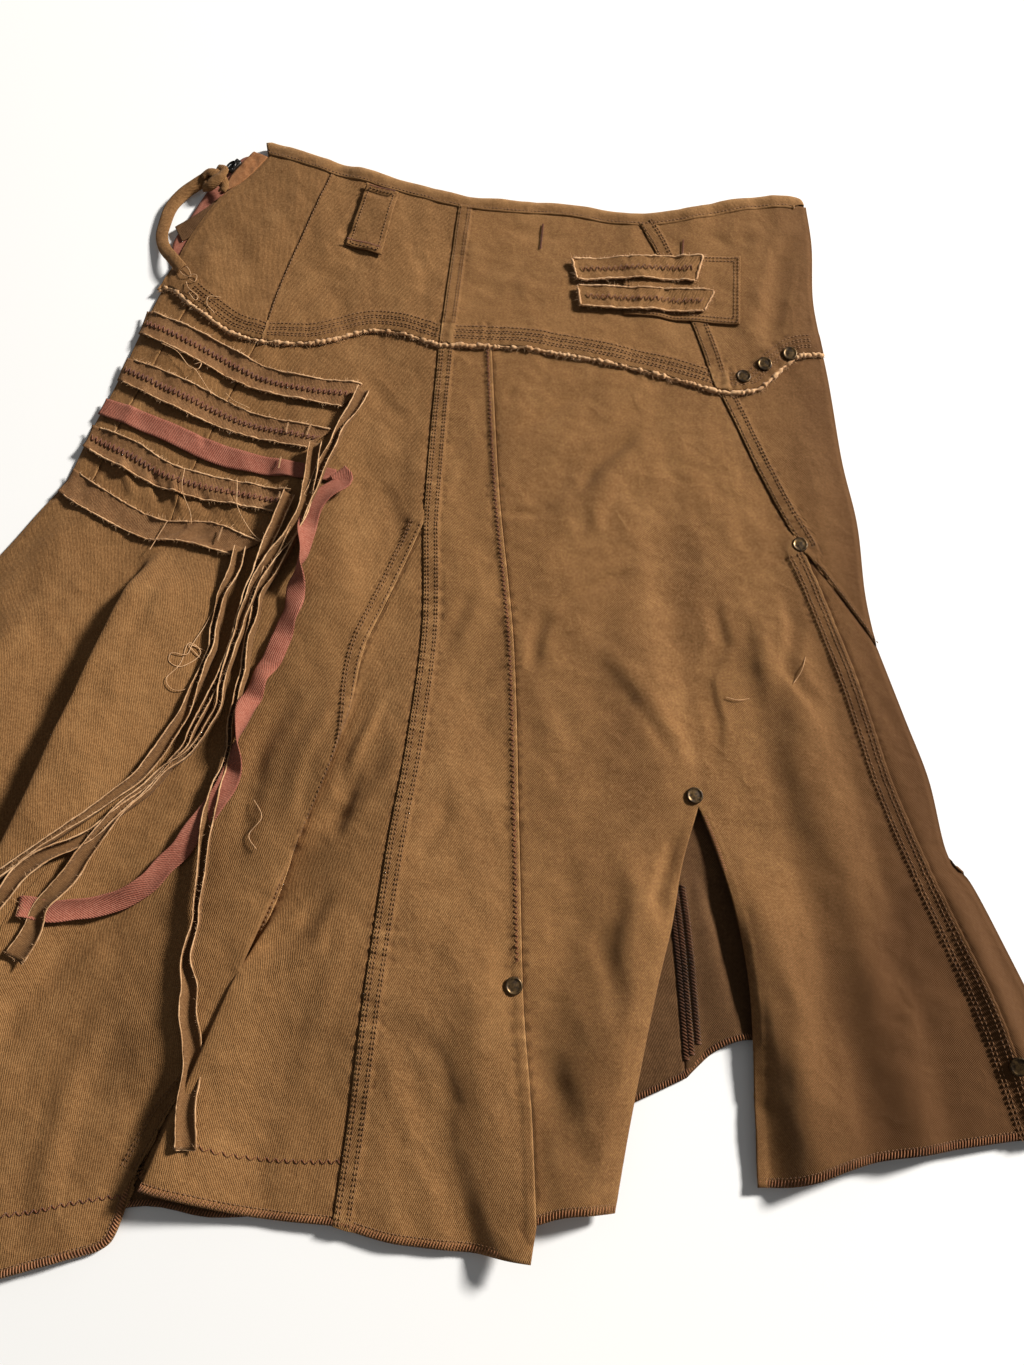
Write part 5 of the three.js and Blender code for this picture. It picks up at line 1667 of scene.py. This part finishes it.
def frayed_cord(edge, radius, seed):
    """A tube along the edge whose radius and place wander with noise."""
    along = np.linspace(0, length_of(edge) * 1000, len(edge))
    wander = lambda size, k: ripple(along, along * 0 + 3 * k, size, seed + k)
    path = edge + np.stack([wander(1.7, 1), wander(1.7, 2), 0.6 * wander(3, 3)], 1) * radius * 0.5 / 1000
    return tube(path, radius / 1000 * (1 + LUMPS * wander(1.3, 4) + 0.7 * LUMPS * wander(9, 5)), 7)


def fibres(edge, outward, per_mm, long, seed):
    """Fibres from random places on an edge. A fibre leaves along the outward direction mixed with a
    random one, and bends by the square of its share towards another. Three-sided, four rings."""
    source = np.random.default_rng(seed)
    count = int(length_of(edge) * 1000 * per_mm)
    place = source.uniform(0, len(edge) - 1.001, count)
    low, part = place.astype(int), (place % 1)[:, None]
    root = edge[low] * (1 - part) + edge[low + 1] * part
    aim = outward[low] + source.normal(0, 0.7, (count, 3)) * [1, 1, 0.45]
    aim /= np.linalg.norm(aim, axis=1)[:, None]
    bend = source.normal(0, 0.6, (count, 3)) * [1, 1, 0.35]
    reach = long * source.uniform(0.35, 1.0, count)[:, None, None] / 1000
    share = np.array([0, 0.35, 0.7, 1])[None, :, None]
    centre = root[:, None] + reach * (share * aim[:, None] + share**2 * bend[:, None])
    centre[..., 2] = np.maximum(centre[..., 2], FLOOR_GAP)
    side = np.cross(aim, -DOWN)
    side /= np.linalg.norm(side, axis=1)[:, None] + 1e-9
    return spun(centre, side, FIBRE * np.array([1, 0.9, 0.7, 0])[None, :, None] / 1000, 3)


def outward_of(edge, side):
    """Level directions square to an edge, on its right for 1 and on its left for -1."""
    return np.c_[square_to(edge[:, :2]) * side, np.zeros(len(edge))]


# %% Frayed edges
# For each edge: its points in metres, the fringe's side, the cord's radius, fibres to a millimetre,
# and their length.
yoke_raw = laid(beside(resample(edge_line, 640), 0.4), LAYER - 0.5)
raw_edges = [(yoke_raw, 1, 1.25, 4.5, 3.2)]
STRIP_INSET = 5  # a strip's first points lie on the turned side, where no fringe shows
for name in ("strip_1", "strip_2", "strip_3", "gather_band"):
    upper, lower = [strip_surfaces[name][row][STRIP_INSET:] for row in (0, -1)]
    raw_edges += [(upper, -1, 0.5, 1.2, 2.2), (lower, 1, 0.5, 1.2, 2.2)]
for name in PATCH_STRIPS:
    surface = trim_surfaces[name]
    raw_edges += [(surface[0], -1, 0.6, 1.2, 2.2), (surface[-1], 1, 0.6, 1.2, 2.2),
                  (surface[:, 0], 1, 0.8, 3.0, 3.0), (surface[:, -1], -1, 0.8, 3.0, 3.0)]
for name, surface in tail_surfaces.items():
    if name != "tail_tape":
        raw_edges += [(surface[:, 0], 1, 0.34, 0.8, 1.6), (surface[:, -1], -1, 0.34, 0.8, 1.6)]
    raw_edges.append((surface[-1], 1, 0.4, 3.0, 3.4))
cords = [frayed_cord(edge, radius, 60 + k) for k, (edge, _, radius, _, _) in enumerate(raw_edges)]
joined("frayed_cords", cords, thread_pale)
strands = [fibres(edge, outward_of(edge, side), per_mm, long, 200 + k)
           for k, (edge, side, _, per_mm, long) in enumerate(raw_edges)]
thread_mesh("frayed_fibres", strands, thread_pale)
print(len(cords), "raw edges")

# %% [markdown]
# ## Loose threads and bar tacks
# A few long threads have come loose and lie in loops on the cloth. Short bars of close stitches
# mark where strips and loops are fastened.

# %% Loose threads
LOOSE_THREADS = [
    [(-170, 241), (-178, 221), (-185, 207), (-188, 200), (-195, 200), (-196, 195), (-190, 193), (-181, 202),
     (-187, 207), (-191, 194), (-197, 185), (-194, 179), (-187, 180), (-181, 188), (-179, 196), (-187, 206),
     (-176, 203), (-172, 205)],
    [(-202, 323), (-202, 308), (-196, 293), (-194, 284)],
    [(-169, 315), (-167, 296), (-158, 280), (-151, 273)],
    [(-209, 288), (-214, 278), (-218, 267)],
    [(-226, 413), (-216, 408), (-207, 397), (-201, 392), (-190, 375)],
    [(-204, 398), (-199, 399), (-200, 394), (-204, 394)],
    [(-223, 473), (-216, 474), (-212, 466), (-217, 467), (-221, 472)],
    [(-212, 467), (-208, 466), (-209, 461), (-213, 463)],
    [(-215, 462), (-212, 455), (-206, 450), (-207, 446), (-212, 452)],
    [(-190, 448), (-198, 448), (-199, 443), (-197, 440), (-193, 435)],
    [(-182, 377), (-175, 370), (-165, 365)],
    [(171, 200), (167, 190), (162, 183)],
    [(123, 176), (130, 174), (137, 175)],
    [(-150, 118), (-146, 108), (-152, 98), (-148, 90)],
]


LOOSE_THREAD = 0.00024  # metres, radius
ON_TRIMS = range(1, 11)  # these threads lie on the strips or the yoke, the others on the panels
TRIM_TOP = 1.6  # layers


def loose_thread(points, seed, lift):
    """A thin tube over the cloth that rises and falls between touches."""
    line = smooth_line(points, 1.0)
    along = np.arange(len(line), dtype=float)
    rise = lift + 0.9 + 0.8 * ripple(along, 0 * along, 8, seed)
    return tube(laid(line, rise), LOOSE_THREAD, 5)


threads = [loose_thread(points, 80 + k, TRIM_TOP * LAYER if k in ON_TRIMS else 0)
           for k, points in enumerate(LOOSE_THREADS)]
joined("loose_threads", threads, thread_pale)
thread_lengths = [length_of(smooth_line(points)) for points in LOOSE_THREADS]
print("loose threads of", round(min(thread_lengths)), "to", round(max(thread_lengths)), "mm")

# %% Bar tacks
# For each tack: its start, its end, and the layers below it.
TACKS = [((-140, 354), (-141, 347), 2.0), ((-126, 353), (-128, 345), 2.0), ((-143, 330), (-144, 322), 1.6),
         ((-142, 306), (-143, 300), 2.0), ((-175, 282), (-177, 273), 2.0)]
YOKE_TACKS = [((21, 510), (19, 489), 1.25), ((115, 497), (114, 485), 1.25),
              ((-87, 486), (-110, 494), 3.2), ((-97, 538), (-79, 532), 3.2)]


TACK_PITCH, TACK_WIDTH = 0.7, 1.7


def bar_tack(start, end, layer):
    """Close stitches across a short bar."""
    line = straight(start, end)
    count = int(length_of(line) / TACK_PITCH)
    share = (np.arange(count) + 0.5) / count
    ends = [at_shares(beside(line, offset), share) for offset in (-TACK_WIDTH / 2, TACK_WIDTH / 2)]
    return on_cloth(ends, LAYER * layer + 0.25, thick=0.3)


thread_mesh("pale_tacks", [bar_tack(*tack) for tack in TACKS], thread_pale)
thread_mesh("rust_tacks", [bar_tack(*tack) for tack in YOKE_TACKS], thread_rust)

# %% [markdown]
# ## Floor and light
# The photo is a cut-out on white with light from the upper right, which draws a dark line under each
# raw edge and fills the valleys of the folds. A pale floor, one lamp there and weak light from all
# round give the same shadows.

# %% Floor and lamps
floor_mesh = bpy.data.meshes.new("floor")
floor_mesh.from_pydata([(-4, -4, 0), (4, -4, 0), (4, 4, 0), (-4, 4, 0)], [], [(0, 1, 2, 3)])
floor = bpy.data.objects.new("floor", floor_mesh)
bpy.context.scene.collection.objects.link(floor)
floor_paint = bpy.data.materials.new("pale floor")
floor_paint.use_nodes = True
floor_shader = floor_paint.node_tree.nodes["Principled BSDF"]
floor_shader.inputs["Base Color"].default_value = (0.9, 0.9, 0.89, 1)
floor_shader.inputs["Roughness"].default_value = 0.9
floor_mesh.materials.append(floor_paint)


def lamp(name, place, size, watts, colour):
    """A square area lamp that looks at the middle of the skirt."""
    data = bpy.data.lights.new(name, "AREA")
    data.size, data.energy, data.color = size, watts, colour
    thing = bpy.data.objects.new(name, data)
    thing.location = place
    x, y, z = place
    thing.rotation_euler = (math.atan2(math.hypot(x, y), z), 0, math.atan2(y, x) + math.pi / 2)
    bpy.context.scene.collection.objects.link(thing)


lamp("key lamp", (4.5, 2.3, 3.0), 0.85, 690, (1, 0.97, 0.93))
world = bpy.data.worlds.new("studio")
bpy.context.scene.world = world
world.use_nodes = True
background = world.node_tree.nodes["Background"]
background.inputs["Color"].default_value = (1, 1, 1, 1)
background.inputs["Strength"].default_value = 0.15
bpy.context.scene.view_settings.view_transform = "Standard"

# %% Close the lesson
bpy.context.view_layer.update()
shown = [o for o in bpy.data.objects if o.type == "MESH" and not o.hide_render]
print(sum(len(o.data.polygons) for o in shown), "faces before the walls, on", len(shown), "objects")
